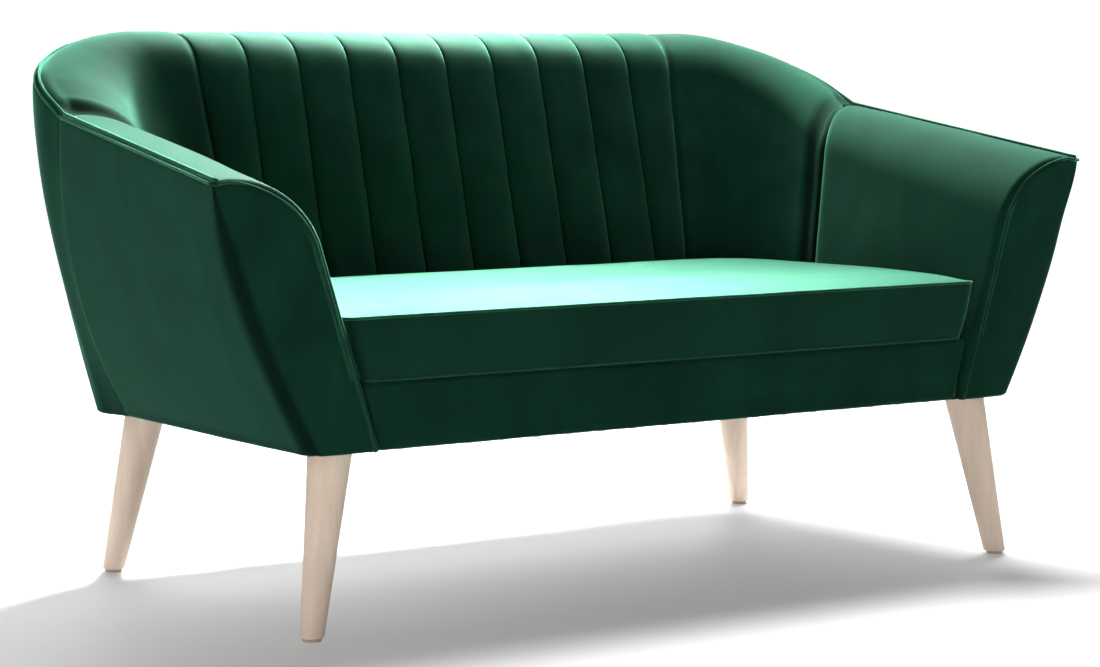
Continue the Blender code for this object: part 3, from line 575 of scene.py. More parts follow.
def make_materials():
    velvet = make_velvet_group()
    wood = make_wood_group()
    weave = make_weave_group()
    metal = make_metal_group()
    made = {}
    # one velvet in two copies: the cushion's sheen weight of 1.0 is a painted highlight on the
    # seat, the shell's 0.28 is painted shade on the arms and back
    made["shell"] = make_velvet("velvet_shell_painted_shade", (0.0031, 0.0205, 0.0116),
                                (0.0054, 0.0355, 0.0201), 0.28, velvet, 7.0)
    made["cushion"] = make_velvet("velvet_cushion_painted_highlight", (0.0034, 0.0220, 0.0124),
                                  (0.0050, 0.0310, 0.0175), 1.0, velvet, 5.0)
    # painted highlight: the welt velvet is the shell's velvet made about twice as light, with more
    # sheen, so the cords read as light lines
    made["welt"] = make_velvet("velvet_welt_painted_highlight", (0.0050, 0.0270, 0.0150),
                               (0.0120, 0.0600, 0.0350), 0.90, velvet, 30.0)
    made["beech"], shader = new_material(
        "oiled_beech", wood, (("Light", (0.860, 0.700, 0.570)), ("Dark", (0.770, 0.600, 0.470))),
        0.20, 0.0003, (("Grain Scale", 60.0),))
    shader.inputs["Specular IOR Level"].default_value = 0.35
    made["pine"], _ = new_material(
        "sawn_pine", wood, (("Light", (0.640, 0.450, 0.260)), ("Dark", (0.420, 0.240, 0.110))),
        0.45, 0.0006, (("Grain Scale", 35.0),))
    made["plywood"], _ = new_material(
        "birch_plywood", wood, (("Light", (0.680, 0.520, 0.340)), ("Dark", (0.520, 0.360, 0.210))),
        0.30, 0.0004, (("Grain Scale", 80.0),))
    made["steel"], shader = new_material(
        "zinc_plated_steel", metal, (("Bright", (0.62, 0.62, 0.60)), ("Dull", (0.40, 0.40, 0.38))),
        0.15, 0.0002)
    shader.inputs["Metallic"].default_value = 1.0
    made["felt"], shader = new_material(
        "grey_felt", weave, (("Yarn", (0.30, 0.30, 0.29)), ("Shade", (0.17, 0.17, 0.165))),
        0.60, 0.0006, (("Thread Scale", 140.0),))
    shader.inputs["Roughness"].default_value = 0.95
    made["cloth"], shader = new_material(
        "black_dust_cloth", weave,
        (("Yarn", (0.030, 0.030, 0.032)), ("Shade", (0.010, 0.010, 0.011))),
        0.50, 0.0004, (("Thread Scale", 260.0),))
    shader.inputs["Roughness"].default_value = 0.90
    made["tape"], shader = new_material(
        "zip_tape", weave, (("Yarn", (0.015, 0.060, 0.036)), ("Shade", (0.008, 0.030, 0.018))),
        0.50, 0.0003, (("Thread Scale", 600.0),))
    shader.inputs["Roughness"].default_value = 0.80
    made["nylon"], shader = new_material(
        "natural_nylon", weave, (("Yarn", (0.520, 0.430, 0.350)), ("Shade", (0.450, 0.370, 0.300))),
        0.20, 0.0002, (("Thread Scale", 90.0),))
    shader.inputs["Roughness"].default_value = 0.50
    return made


# ---------------------------------------------------------------- the channelled back
BACK_ROWS = (40, 26, 7)
BACK_BOTTOM_Z = 0.335


def channel_marks():
    """Places across one channel, closer together towards its seams."""
    return [math.sin(math.pi * (i / 20 - 0.5)) * 0.5 + 0.5 for i in range(20)]


def channel_puff(across):
    """Height of a channel's face over its seams; across runs from 0 to 1."""
    return CHANNEL_DEPTH * (1 - abs(2 * across - 1) ** 3.0) ** 0.42


def corner_puff(run):
    """The plain corner rises from the last seam and falls away under the arm pad."""
    from_seam = CORNER_RUN - run
    rise = CHANNEL_DEPTH * (1 - (1 - clamp(from_seam / 0.040)) ** 3.0) ** 0.42
    return rise - REAR_TUCK * (1 - ease((run - 0.004) / 0.034))


SEAM_SHADE = 0.62            # share of a channel's puff below which its seam gets painted shade


def back_sections():
    """Sections of the right half of the back with the puff of each, middle first."""
    half = []
    for channel in range(CHANNELS // 2):
        for across in channel_marks():
            half.append((channel_station(channel + across), channel_puff(across)))
    shares = [1 - math.sin(i / 70 * math.pi / 2) for i in range(71)] + [-0.02, -0.05]
    for share in shares:
        half.append((corner_station(share), corner_puff(max(0.0, share) * CORNER_RUN)))
    return half


def make_back_lining(material):
    """The whole inner face of the back: ten sewn channels and both plain corners."""
    half = back_sections()
    columns, puffs = [], []
    for side, run in ((-1, half[::-1]), (1, half[1:])):
        for station, puff in run:
            points = pad_profile(station, BACK_BOTTOM_Z, *BACK_ROWS)
            columns.append([mirrored(point, side) for point in points])
            puffs.append(puff)
    bm, marks = grid_mesh(columns)
    face_towards(bm, (0, -1, 0.2))
    last = sum(BACK_ROWS) - 1
    moves = []
    for vert, (i, j) in marks.items():
        fade = 1 - ease((j / last - 0.93) / 0.07)
        wave = crush(vert.co, 0.09, 0.0012) + crush(vert.co, 0.03, 0.0004)
        moves.append((vert, vert.normal * (puffs[i] + wave) * fade))
    for vert, move in moves:
        vert.co += move
    # painted shade in the channel seams, darkest where the puff is lowest
    paint_seam_shade(bm, marks, lambda i, j: 1 - puffs[i] / (SEAM_SHADE * CHANNEL_DEPTH))
    piece = thicken(make_piece("back_lining", bm, material), PAD_SKIN)
    names = [f"back_channel_{number:02d}" for number in range(1, CHANNELS + 1)]
    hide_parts(*names, "back_corner_pad_left", "back_corner_pad_right")


# ---------------------------------------------------------------- outer back
COVER_ROWS = 40
HEM_ROWS = 4


def hem_points(last, inward):
    """Rows that turn a cover in under the frame from its last point."""
    points = []
    for k in range(1, HEM_ROWS + 1):
        angle = k / HEM_ROWS * math.pi / 2
        reach = HEM_RADIUS * (1 - math.cos(angle))
        fall = HEM_RADIUS * math.sin(angle)
        points.append(last + Vector((inward.x * reach, inward.y * reach, -fall)))
    points.append(points[-1] + Vector((inward.x, inward.y, 0)) * 0.010)
    return points


def cover_column(station, puff):
    points = []
    for j in range(COVER_ROWS):
        drop = j / (COVER_ROWS - 1)
        point = outer_at(station, drop, -puff * math.sin(math.pi * drop ** 0.55))
        point.z += HEM_RADIUS * drop * drop
        points.append(point)
    return points + hem_points(points[-1], station["inward"])


def make_outer_back(material):
    """One cover from side seam to side seam, turned in under the frame."""
    runs = [0.0, 0.0008, 0.002, 0.004] + spread(0.008, CORNER_RUN, 44)
    runs += spread(CORNER_RUN, HALF_RUN, 16)[1:]
    right = []
    for run in runs:
        swell = 0.0065 * ease(run / 0.08) * (1 - 0.6 * ease((run - 0.25) / 0.3))
        column = cover_column(shell_station(run, None), swell)
        tuck = rounded_end(run, 0.004)
        inward = rim_at(run)[1]
        right.append([point + Vector((inward.x, inward.y, 0)) * tuck for point in column])
    left = [[mirrored(point, -1) for point in column] for column in right[:-1]]
    bm, _ = grid_mesh(right + left[::-1])
    face_towards(bm, (0, 1, 0))
    push_out(bm, lambda place: crush(place, 0.12, 0.0010))
    piece = thicken(make_piece("outer_back", bm, material), COVER_SKIN)
    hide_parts("outer_back_cover")


# ---------------------------------------------------------------- arms
ARM_ROWS = (30, 26, 7)
ARM_BOTTOM_Z = 0.318
ARM_LENGTH = JOIN_Y - FRONT_Y
SHOULDER = 0.70              # share of the front outline where the roll turns over


def arm_places():
    """Distances along the arm, closer together at both rounded ends."""
    near = [0.0, 0.0004, 0.0012, 0.0025, 0.0045, 0.0070, 0.0105]
    far = [ARM_LENGTH - place for place in near[::-1]]
    return near + spread(0.015, ARM_LENGTH - 0.015, 46) + far


def make_arm_pad(side, tag, material):
    """Padded inner face and roll of one arm, with a pillowed end at the back."""
    places = arm_places()
    columns = []
    for place in places:
        bottom = blend(BASE_Z + 0.002, ARM_BOTTOM_Z, ease((place - 0.019) / 0.010))
        points = pad_profile(arm_station(place / ARM_LENGTH), bottom, *ARM_ROWS)
        columns.append([mirrored(point, side) for point in points])
    bm, marks = grid_mesh(columns)
    face_towards(bm, (-side, 0, 0.6))
    last = sum(ARM_ROWS) - 1
    moves = []
    for vert, (i, j) in marks.items():
        up = j / last
        ends = rounded_end(places[i], FRONT_EDGE)
        ends += rounded_end(ARM_LENGTH - places[i], REAR_EDGE) * (1 - 0.45 * ease((up - 0.9) / 0.1))
        crown = 0.003 * math.sin(math.pi * places[i] / ARM_LENGTH) * math.sin(math.pi * up)
        wave = crush(vert.co, 0.10, 0.0010) * (1 - ease((up - 0.93) / 0.07))
        moves.append((vert, vert.normal * (crown + wave - ends)))
    for vert, move in moves:
        vert.co += move
    piece = thicken(make_piece("arm_padding_" + tag, bm, material), PAD_SKIN)
    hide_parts("arm_inner_pad_" + tag)


def line_lengths(points):
    lengths = [0.0]
    for a, b in zip(points, points[1:]):
        lengths.append(lengths[-1] + (b - a).length)
    return lengths


def point_on(points, lengths, share):
    """Point at a share of a line's whole length."""
    wanted = clamp(share) * lengths[-1]
    for k in range(1, len(points)):
        if lengths[k] >= wanted:
            step = lengths[k] - lengths[k - 1]
            return points[k - 1].lerp(points[k], (wanted - lengths[k - 1]) / max(step, 1e-9))
    return points[-1].copy()


def front_outline(inset):
    """Inner outline of the arm's front from the underside up to its tip, drawn in."""
    points = pad_profile(arm_station(0.0), BASE_Z, 24, 40, 8)
    lengths = line_lengths(points)
    drawn = []
    for k, point in enumerate(points):
        before, after = points[max(0, k - 1)], points[min(len(points) - 1, k + 1)]
        along = (after - before).normalized()
        keep = 1 - 0.72 * ease((lengths[k] / lengths[-1] - 0.80) / 0.20)
        shift = Vector((along.z, 0, -along.x)) * inset * keep
        place = point + shift
        place.z = max(BASE_Z, place.z)
        drawn.append(place)
    return drawn


def front_patch(edge, lengths, across, drop):
    """Point on the arm's front: across from outline to fold, drop from top to hem."""
    def top(share):
        return point_on(edge, lengths, blend(SHOULDER, 1.0, share))

    def hem(share):
        return edge[0].lerp(outer_at(arm_station(0.0), 1.0), share)

    side = point_on(edge, lengths, SHOULDER * (1 - drop))
    fold = outer_at(arm_station(0.0), drop)
    ruled = top(across) * (1 - drop) + hem(across) * drop
    ruled += side * (1 - across) + fold * across
    corners = top(0) * (1 - across) * (1 - drop) + top(1) * across * (1 - drop)
    corners += hem(0) * (1 - across) * drop + hem(1) * across * drop
    point = ruled - corners
    point.y = FRONT_Y + 0.0015 - 0.0035 * math.sin(math.pi * clamp(across) ** 0.7)
    return point


def arm_cover_row(edge, lengths, drop):
    """One row of the cover: across the front, round the soft fold, back along the side."""
    fold = outer_at(arm_station(0.0), drop)
    start = point_on(edge, lengths, SHOULDER * (1 - drop))
    radius = 0.004 + (FOLD_RADIUS - 0.004) * ease(drop / 0.3)
    end_across = 1 - radius / max((fold - start).length, 2 * radius)
    row, turns = [], []
    for k in range(18):
        row.append(front_patch(edge, lengths, end_across * k / 17, drop))
        turns.append(0.0)
    side_start = outer_at(arm_station(radius / ARM_LENGTH), drop)
    last = row[-1].copy()
    for k in range(1, 9):
        t = k / 9
        row.append(last * (1 - t) ** 2 + fold * 2 * t * (1 - t) + side_start * t * t)
        turns.append(t)
    near = (0.0045, 0.0025, 0.0012, 0.0004, 0.0)
    places = spread(radius, ARM_LENGTH - 0.008, 46) + [ARM_LENGTH - gap for gap in near]
    for place in places:
        swell = 0.003 * math.sin(math.pi * drop) * ease(place / 0.1)
        tuck = rounded_end(ARM_LENGTH - place, 0.0045) - swell
        row.append(outer_at(arm_station(place / ARM_LENGTH), drop, tuck))
        turns.append(1.0)
    for point in row:
        point.z += HEM_RADIUS * drop * drop
    return row, turns


def make_arm_cover(side, tag, material):
    """The arm's front and outer side in one cloth, with a soft fold between them."""
    edge = front_outline(FRONT_EDGE - 0.0005)
    lengths = line_lengths(edge)
    rows = []
    for j in range(COVER_ROWS):
        row, turns = arm_cover_row(edge, lengths, j / (COVER_ROWS - 1))
        rows.append(row)
    columns = []
    for i, turn in enumerate(turns):
        column = [row[i] for row in rows]
        inward = Vector((-turn, 1 - turn)).normalized()
        column += hem_points(column[-1], inward)
        columns.append([mirrored(point, side) for point in column])
    bm, marks = grid_mesh(columns)
    face_towards(bm, (side, -0.4, 0))
    folded = [4 * turn * (1 - turn) for turn in turns]
    grooves = [(vert, -vert.normal * FOLD_GROOVE * folded[i] * ease(3 * j / COVER_ROWS))
               for vert, (i, j) in marks.items()]
    for vert, move in grooves:
        vert.co += move
    # painted shade along the soft fold between the arm's front and its side
    paint_seam_shade(bm, marks, lambda i, j: 1.3 * folded[i])
    push_out(bm, lambda place: crush(place, 0.11, 0.0009))
    piece = thicken(make_piece("arm_cover_" + tag, bm, material), COVER_SKIN)
    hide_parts("arm_outer_cover_" + tag, "arm_front_panel_" + tag)


# ---------------------------------------------------------------- welts and seams
def rim_line(inset, lift):
    """Line along the rim from the right arm's tip to the middle of the back."""
    points = []
    for share in spread(0.0, 1.0, 40):
        station = arm_station(share)
        plan = station["rim"] + station["inward"] * inset
        points.append(Vector((plan.x, plan.y, station["height"] - 0.003 + lift)))
    for run in spread(0.004, HALF_RUN, 110):
        rim, inward = rim_at(run)
        plan = rim + inward * inset
        points.append(Vector((plan.x, plan.y, rim_height(run) - 0.003 + lift)))
    return points


def make_rim_welts(material):
    """Double welt round the whole rim, from one arm's tip to the other's."""
    for name, inset, lift in (("rim_welt_upper", 0.0062, 0.0026),
                              ("rim_welt_lower", 0.0004, -0.0026)):
        right = rim_line(inset, lift)
        left = [mirrored(point, -1) for point in right[:-1]]
        cord = make_cord(name, left + right[::-1], WELT_RADIUS, material)


def make_arm_welts(side, tag, material):
    """Double welt between pad and front, and the cord down the side seam."""
    for name, inset, low, high in (("front_welt_outer_", FRONT_EDGE - 0.001, 0.0, 1.0),
                                   ("front_welt_inner_", FRONT_EDGE + 0.0045, 0.22, 0.86)):
        edge = front_outline(inset)
        lengths = line_lengths(edge)
        points = [point_on(edge, lengths, share) for share in spread(low, high, 90)]
        places = [mirrored((p.x, FRONT_Y + 0.0006, p.z), side) for p in points]
        make_cord(name + tag, places, WELT_RADIUS, material)
    station = arm_station(1.0)
    points = []
    for drop in spread(0.005, 1.0, 40):
        point = outer_at(station, drop, 0.0015 - 0.0024 * math.sin(math.pi * drop))
        point.z += HEM_RADIUS * drop * drop
        points.append(mirrored(point, side))
    make_cord("side_seam_" + tag, points, SEAM_CORD, material)


# ---------------------------------------------------------------- seat front
def make_seat_front(material):
    """Padded front of the seat, rounded into the frame at its edges and ends."""
    low, high = COVER_LOW.z, COVER_HIGH.z
    radius = 0.006
    section = [(0.030, low + 0.0005), (radius, low)]
    for k in range(1, 6):
        angle = k / 6 * math.pi / 2
        section.append((radius * (1 - math.sin(angle)), low + radius * (1 - math.cos(angle))))
    section += [(0.0, z) for z in spread(low + radius, high - radius, 12)]
    for k in range(1, 6):
        angle = k / 6 * math.pi / 2
        section.append((radius * (1 - math.cos(angle)), high - radius * (1 - math.sin(angle))))
    section += [(depth, high) for depth in (radius, 0.020, 0.035, 0.050)]
    near = [0.0, 0.0005, 0.0015, 0.003, 0.0055]
    shares = near + spread(0.012, 0.988, 60) + [1 - place for place in near[::-1]]
    columns = []
    for share in shares:
        column = []
        for depth, z in section:
            half = inner_side_x(z, 0.0) - 0.0022 - 0.04 * (z - BASE_Z)
            column.append(Vector((blend(-half, half, share), SEAT_FRONT_Y + depth, z)))
        columns.append(column)
    bm, marks = grid_mesh(columns)
    face_towards(bm, (0, -1, 0))
    moves = []
    for vert, (i, j) in marks.items():
        ends = rounded_end(min(shares[i], 1 - shares[i]) * (columns[-1][j] - columns[0][j]).length,
                           0.006)
        crown = 0.0025 * math.sin(math.pi * j / (len(section) - 1))
        moves.append((vert, vert.normal * (crown + crush(vert.co, 0.10, 0.0007) - ends)))
    for vert, move in moves:
        vert.co += move
    piece = thicken(make_piece("seat_front", bm, material), 0.008)
    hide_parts("seat_front_cover")


# ---------------------------------------------------------------- seat cushion
CUSHION_GAP = 0.0115         # from its seams to the arms and the back
CUSHION_CROWN = 0.015        # middle of the upper panel over its piped edge
NOSE = 0.014                 # plan radius of the front corners
SWELL = 0.0065               # most that the filling pushes the cloth out
FILLING_PRESSURE = 4.0
FILLING_FRAMES = 20          # steps of the simulation
BOXING_PUFF_FRONT = 0.0005   # fullness of the boxing before it is filled
BOXING_PUFF_END = 0.0025     # the same at both ends
BOXING_CUTS = 11             # rows of vertices between the two seams
ZIP_LENGTH = 0.40
ZIP_WIDTH = 0.022
ZIP_PROUD = 0.0040           # from the seam line back to the middle of the tape
TOP_COLUMNS = 120
TOP_ROWS = 64


def cushion_half_width(y, z):
    """Half width of the cushion's plan at a depth and height."""
    rear_y = inner_back_y(z) - CUSHION_GAP
    front_x = inner_side_x(z, 0.0) - CUSHION_GAP
    rear_x = inner_side_x(z, 1.0) - CUSHION_GAP
    radius_x = INNER_CORNER_X - CUSHION_GAP
    radius_y = INNER_CORNER_Y - CUSHION_GAP
    turn_y = rear_y - radius_y
    half = blend(front_x, rear_x, clamp((y - SEAT_FRONT_Y) / (turn_y - SEAT_FRONT_Y)))
    if y > turn_y:
        share = clamp((y - turn_y) / radius_y)
        half -= radius_x * (1 - math.sqrt(max(0.0, 1 - share * share)))
    if y < SEAT_FRONT_Y + NOSE:
        share = 1 - (y - SEAT_FRONT_Y) / NOSE
        half -= NOSE * (1 - math.sqrt(max(0.0, 1 - share * share)))
    return half


def cushion_rows(z):
    """Depths of the rows, closer together at the front and round the rear corners."""
    rear_y = inner_back_y(z) - CUSHION_GAP
    near = [0.0, 0.02, 0.08, 0.2, 0.4, 0.65]
    front = [SEAT_FRONT_Y + NOSE * share for share in near]
    rear = [rear_y - 0.12 * (1 - math.sin(i / 22 * math.pi / 2)) for i in range(23)]
    middle = spread(SEAT_FRONT_Y + NOSE, rear_y - 0.12, TOP_ROWS - 28)
    return front + middle + rear[1:]


def panel_rise(inside):
    """Share of the crown at a distance in from the seam: a round shoulder, then a slow rise."""
    shoulder = 1 - (1 - clamp(inside / 0.050)) ** 2.4
    middle = 1 - (1 - clamp(inside / 0.200)) ** 2.2
    return 0.70 * shoulder + 0.30 * middle


def cushion_panel(z, crown):
    """Upper or lower panel of the cushion as columns of points."""
    rows = cushion_rows(z)
    rear_y = inner_back_y(z) - CUSHION_GAP
    columns = []
    for i in range(TOP_COLUMNS + 1):
        share = 2 * i / TOP_COLUMNS - 1
        column = []
        for y in rows:
            half = cushion_half_width(y, z)
            x = share * half
            rise = panel_rise(half - abs(x)) * panel_rise(min(y - SEAT_FRONT_Y, rear_y - y))
            column.append(Vector((x, y, z + crown * rise)))
        columns.append(column)
    return columns


def seam_key(vert):
    """A vertex's place to 0.01 mm, to find it again once the panels are joined."""
    return tuple(round(number, 5) for number in vert.co)


def build_cushion():
    """Closed mesh of two panels joined by the boxing; returns it with its held seams."""
    bm, _ = grid_mesh(cushion_panel(CUSHION_EDGE_Z, CUSHION_CROWN))
    lower, _ = grid_mesh(cushion_panel(CUSHION_LOW.z, 0.0))
    copy = bpy.data.meshes.new("lower_panel")
    lower.to_mesh(copy)
    lower.free()
    bm.from_mesh(copy)
    bpy.data.meshes.remove(copy)
    seams = [edge for edge in bm.edges if edge.is_boundary]
    sewn = {seam_key(vert) for edge in seams for vert in edge.verts}
    joined = bmesh.ops.bridge_loops(bm, edges=seams)
    across = [edge for edge in joined["edges"]
              if abs(edge.verts[0].co.z - edge.verts[1].co.z) > 0.02]
    bmesh.ops.subdivide_edges(bm, edges=across, cuts=BOXING_CUTS, use_grid_fill=True)
    bmesh.ops.recalc_face_normals(bm, faces=bm.faces[:])
    bm.normal_update()
    boxing = CUSHION_EDGE_Z - CUSHION_LOW.z
    held = [vert for vert in bm.verts if seam_key(vert) in sewn]
    sides = [vert for vert in bm.verts if seam_key(vert) not in sewn and abs(vert.normal.z) < 0.6
             and 0.0 < (vert.co.z - CUSHION_LOW.z) / boxing < 1.0]
    for vert in sides:
        outward = Vector((vert.normal.x, vert.normal.y, 0)).normalized()
        fullness = math.sin(math.pi * (vert.co.z - CUSHION_LOW.z) / boxing) ** 0.7
        end = ease((abs(vert.co.x) - 0.35) / 0.10)
        vert.co += outward * fullness * blend(BOXING_PUFF_FRONT, BOXING_PUFF_END, end)
    bm.verts.index_update()
    return bm, [vert.index for vert in held]


def inflate(piece, held, pressure, cap):
    """Let the filling push the cloth out, with its seams held, and keep the result."""
    mesh = piece.data
    rest = [vert.co.copy() for vert in mesh.vertices]
    group = piece.vertex_groups.new(name="seams")
    group.add(held, 1.0, "REPLACE")
    cloth = piece.modifiers.new("filling", "CLOTH")
    cloth.settings.use_pressure = True
    cloth.settings.uniform_pressure_force = pressure
    cloth.settings.effector_weights.gravity = 0.0
    cloth.settings.vertex_group_mass = "seams"
    cloth.settings.quality = 5
    cloth.point_cache.frame_end = FILLING_FRAMES
    scene = bpy.context.scene
    for number in range(1, FILLING_FRAMES + 1):
        scene.frame_set(number)
    shown = piece.evaluated_get(bpy.context.evaluated_depsgraph_get())
    swollen = [vert.co.copy() for vert in shown.data.vertices]
    piece.modifiers.remove(cloth)
    piece.vertex_groups.remove(group)
    scene.frame_set(1)
    for vert, before, after in zip(mesh.vertices, rest, swollen):
        move = after - before
        if move.length > 1e-9:
            vert.co = before + move * (cap * math.tanh(move.length / cap) / move.length)


def settle_cushion(piece):
    """Keep the underside flat on the deck and give the top its shallow unevenness."""
    for vert in piece.data.vertices:
        place = vert.co
        place.z = max(place.z, CUSHION_LOW.z)
        place += Vector((0, 0, 1)) * crush(place, 0.14, 0.0008) * (place.z > CUSHION_EDGE_Z)


def cushion_loop(z, outset):
    """Closed line round the cushion's plan at a height."""
    rows = cushion_rows(z)
    right = []
    for y in rows:
        right.append(Vector((cushion_half_width(y, z), y, z)))
    front = [Vector((x, rows[0], z)) for x in spread(-right[0].x, right[0].x, 60)[1:-1]]
    rear = [Vector((x, rows[-1], z)) for x in spread(right[-1].x, -right[-1].x, 50)[1:-1]]
    left = [mirrored(point, -1) for point in right[::-1]]
    loop = front + right + rear + left
    moved = []
    for k, point in enumerate(loop):
        along = (loop[(k + 1) % len(loop)] - loop[k - 1]).normalized()
        moved.append(point + Vector((along.y, -along.x, 0)) * outset)
    return moved


def sewn_on(piece, loop, stand):
    """Bring a cord's points onto the finished cloth, so that it follows every corner."""
    skin = BVHTree.FromObject(piece, bpy.context.evaluated_depsgraph_get())
    placed = []
    for point in loop:
        found, normal, _, gap = skin.find_nearest(point)
        outward = (point - found).normalized() if gap > 0.0003 else normal
        placed.append(found + outward * stand)
    for _ in range(2):
        placed = [placed[k - 1] * 0.25 + place * 0.5 + placed[(k + 1) % len(placed)] * 0.25
                  for k, place in enumerate(placed)]
    return placed


def make_cushion(materials):
    """Loose box cushion swollen by its filling, with piping, lower seam and zip."""
    bm, held = build_cushion()
    piece = make_piece("seat_cushion", bm, materials["cushion"], "seat_cushion")
    inflate(piece, held, FILLING_PRESSURE, SWELL)
    settle_cushion(piece)
    subdivided = piece.modifiers.new("finer", "SUBSURF")
    subdivided.levels = 1
    subdivided.render_levels = 1
    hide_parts("seat_cushion_cover", "seat_cushion_foam")
    for name, z, outset, radius in (
            ("cushion_piping", CUSHION_EDGE_Z + 0.0004, 0.0020, PIPING_RADIUS),
            ("cushion_lower_seam", CUSHION_LOW.z + 0.0012, 0.0004, SEAM_CORD)):
        line = sewn_on(piece, cushion_loop(z, outset), 0.4 * radius)
        cord = make_cord(name, line, radius, materials["welt"],
                         "seat_cushion", closed=True)
    make_zip(materials)


def make_zip(materials):
    """Tape, teeth and slider in the rear boxing."""
    z = (CUSHION_LOW.z + CUSHION_EDGE_Z) / 2
    y = inner_back_y(z) - CUSHION_GAP + ZIP_PROUD
    bm = bmesh.new()
    bmesh.ops.create_cube(bm, size=1.0, matrix=Matrix.Diagonal((ZIP_LENGTH, 0.0012, ZIP_WIDTH, 1)))
    bmesh.ops.bevel(bm, geom=bm.edges[:], offset=0.0004, segments=2, profile=0.5,
                    affect="EDGES", material=-1)
    bmesh.ops.translate(bm, verts=bm.verts[:], vec=(0, y, z))
    make_piece("zip_tape", bm, materials["tape"], "seat_cushion")
    bm = bmesh.new()
    for number in range(150):
        x = blend(-0.195, 0.195, number / 149)
        lift = 0.0007 if number % 2 else -0.0007
        place = Matrix.Translation((x, y + 0.0010, z + lift))
        bmesh.ops.create_cube(bm, size=1.0,
                              matrix=place @ Matrix.Diagonal((0.0013, 0.0012, 0.0034, 1)))
    bmesh.ops.create_cube(bm, size=1.0, matrix=Matrix.Translation((0.190, y + 0.0020, z))
                          @ Matrix.Diagonal((0.009, 0.0030, 0.008, 1)))
    bmesh.ops.create_cube(bm, size=1.0, matrix=Matrix.Translation((0.178, y + 0.0030, z))
                          @ Matrix.Diagonal((0.020, 0.0012, 0.005, 1)))
    bmesh.ops.bevel(bm, geom=bm.edges[:], offset=0.0002, segments=1, profile=0.5,
                    affect="EDGES", material=-1)
    make_piece("zip_teeth", bm, materials["steel"], "seat_cushion", False)


# ---------------------------------------------------------------- deck and underside
def make_deck(materials):
    """Felt laid over the springs, pressed slightly in between them."""
    columns = []
    for x in spread(DECK_LOW.x, DECK_HIGH.x, 90):
        column = []
        for y in spread(DECK_LOW.y, DECK_HIGH.y, 50):
            dip = 0.0006 * math.cos(x * 37.0) + crush(Vector((x, y, 0)), 0.05, 0.0004)
            column.append(Vector((x, y, DECK_HIGH.z - 0.0010 + dip)))
        columns.append(column)
    bm, _ = grid_mesh(columns)
    face_towards(bm, (0, 0, 1))
    piece = thicken(make_piece("deck_felt", bm, materials["felt"]), 0.0016)
    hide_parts("spring_felt")


def underside_outline():
    """Right-hand edge of the underside, inside the covers, from front to rear."""
    outline = [Vector((outer_at(arm_station(0.0), 1.0, 0.009).x, y))
               for y in spread(FRONT_Y + 0.016, JOIN_Y, 16)]
    for share in spread(0.01, 0.98, 16):
        outline.append(outer_at(shell_station(share * CORNER_RUN, None), 1.0, 0.009).xy)
    return outline


def make_under_cloth(materials):
    """Black cloth stapled under the frame, hanging a little between its rails."""
    outline = underside_outline()
    columns = []
    for share in spread(-1.0, 1.0, 60):
        column = []
        for k, edge in enumerate(outline):
            sag = 0.0035 * (1 - share ** 4) * math.sin(math.pi * k / (len(outline) - 1))
            sag += crush(Vector((share * edge.x, edge.y, 0)), 0.07, 0.0007)
            column.append(Vector((share * edge.x, edge.y, CLOTH_LOW.z + 0.0012 - sag)))
        columns.append(column)
    bm, _ = grid_mesh(columns)
    face_towards(bm, (0, 0, -1))
    area = sum(face.calc_area() for face in bm.faces)
    piece = thicken(make_piece("under_cloth", bm, materials["cloth"]), 0.0008)
    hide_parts("dust_cloth")
    staples = make_staples(outline, materials)


def make_staples(outline, materials):
    """Staples along the cloth's edge, all in one piece."""
    edge = [Vector((point.x - 0.010, point.y, 0)) for point in outline]
    front = Vector((0, outline[0].y + 0.008, 0))
    rear = Vector((0, outline[-1].y - 0.010, 0))
    line = [front] + [edge[0] + Vector((0, 0.008, 0))] + edge[1:-1] + [rear]
    lengths = line_lengths(line)
    bm = bmesh.new()
    count = 34
    for side in (-1, 1):
        for k in range(count):
            here = point_on(line, lengths, (k + 0.5) / count)
            there = point_on(line, lengths, (k + 0.9) / count)
            turn = math.atan2(there.y - here.y, there.x - here.x)
            place = Matrix.Translation((here.x, here.y, CLOTH_LOW.z - 0.0002))
            place = place @ Matrix.Rotation(turn, 4, "Z")
            mirror = Matrix.Diagonal((side, 1, 1, 1))
            bmesh.ops.create_cube(bm, size=1.0, matrix=mirror @ place
                                  @ Matrix.Diagonal((0.010, 0.0012, 0.0010, 1)))
    bmesh.ops.recalc_face_normals(bm, faces=bm.faces[:])
    return make_piece("cloth_staples", bm, materials["steel"], smooth=False)


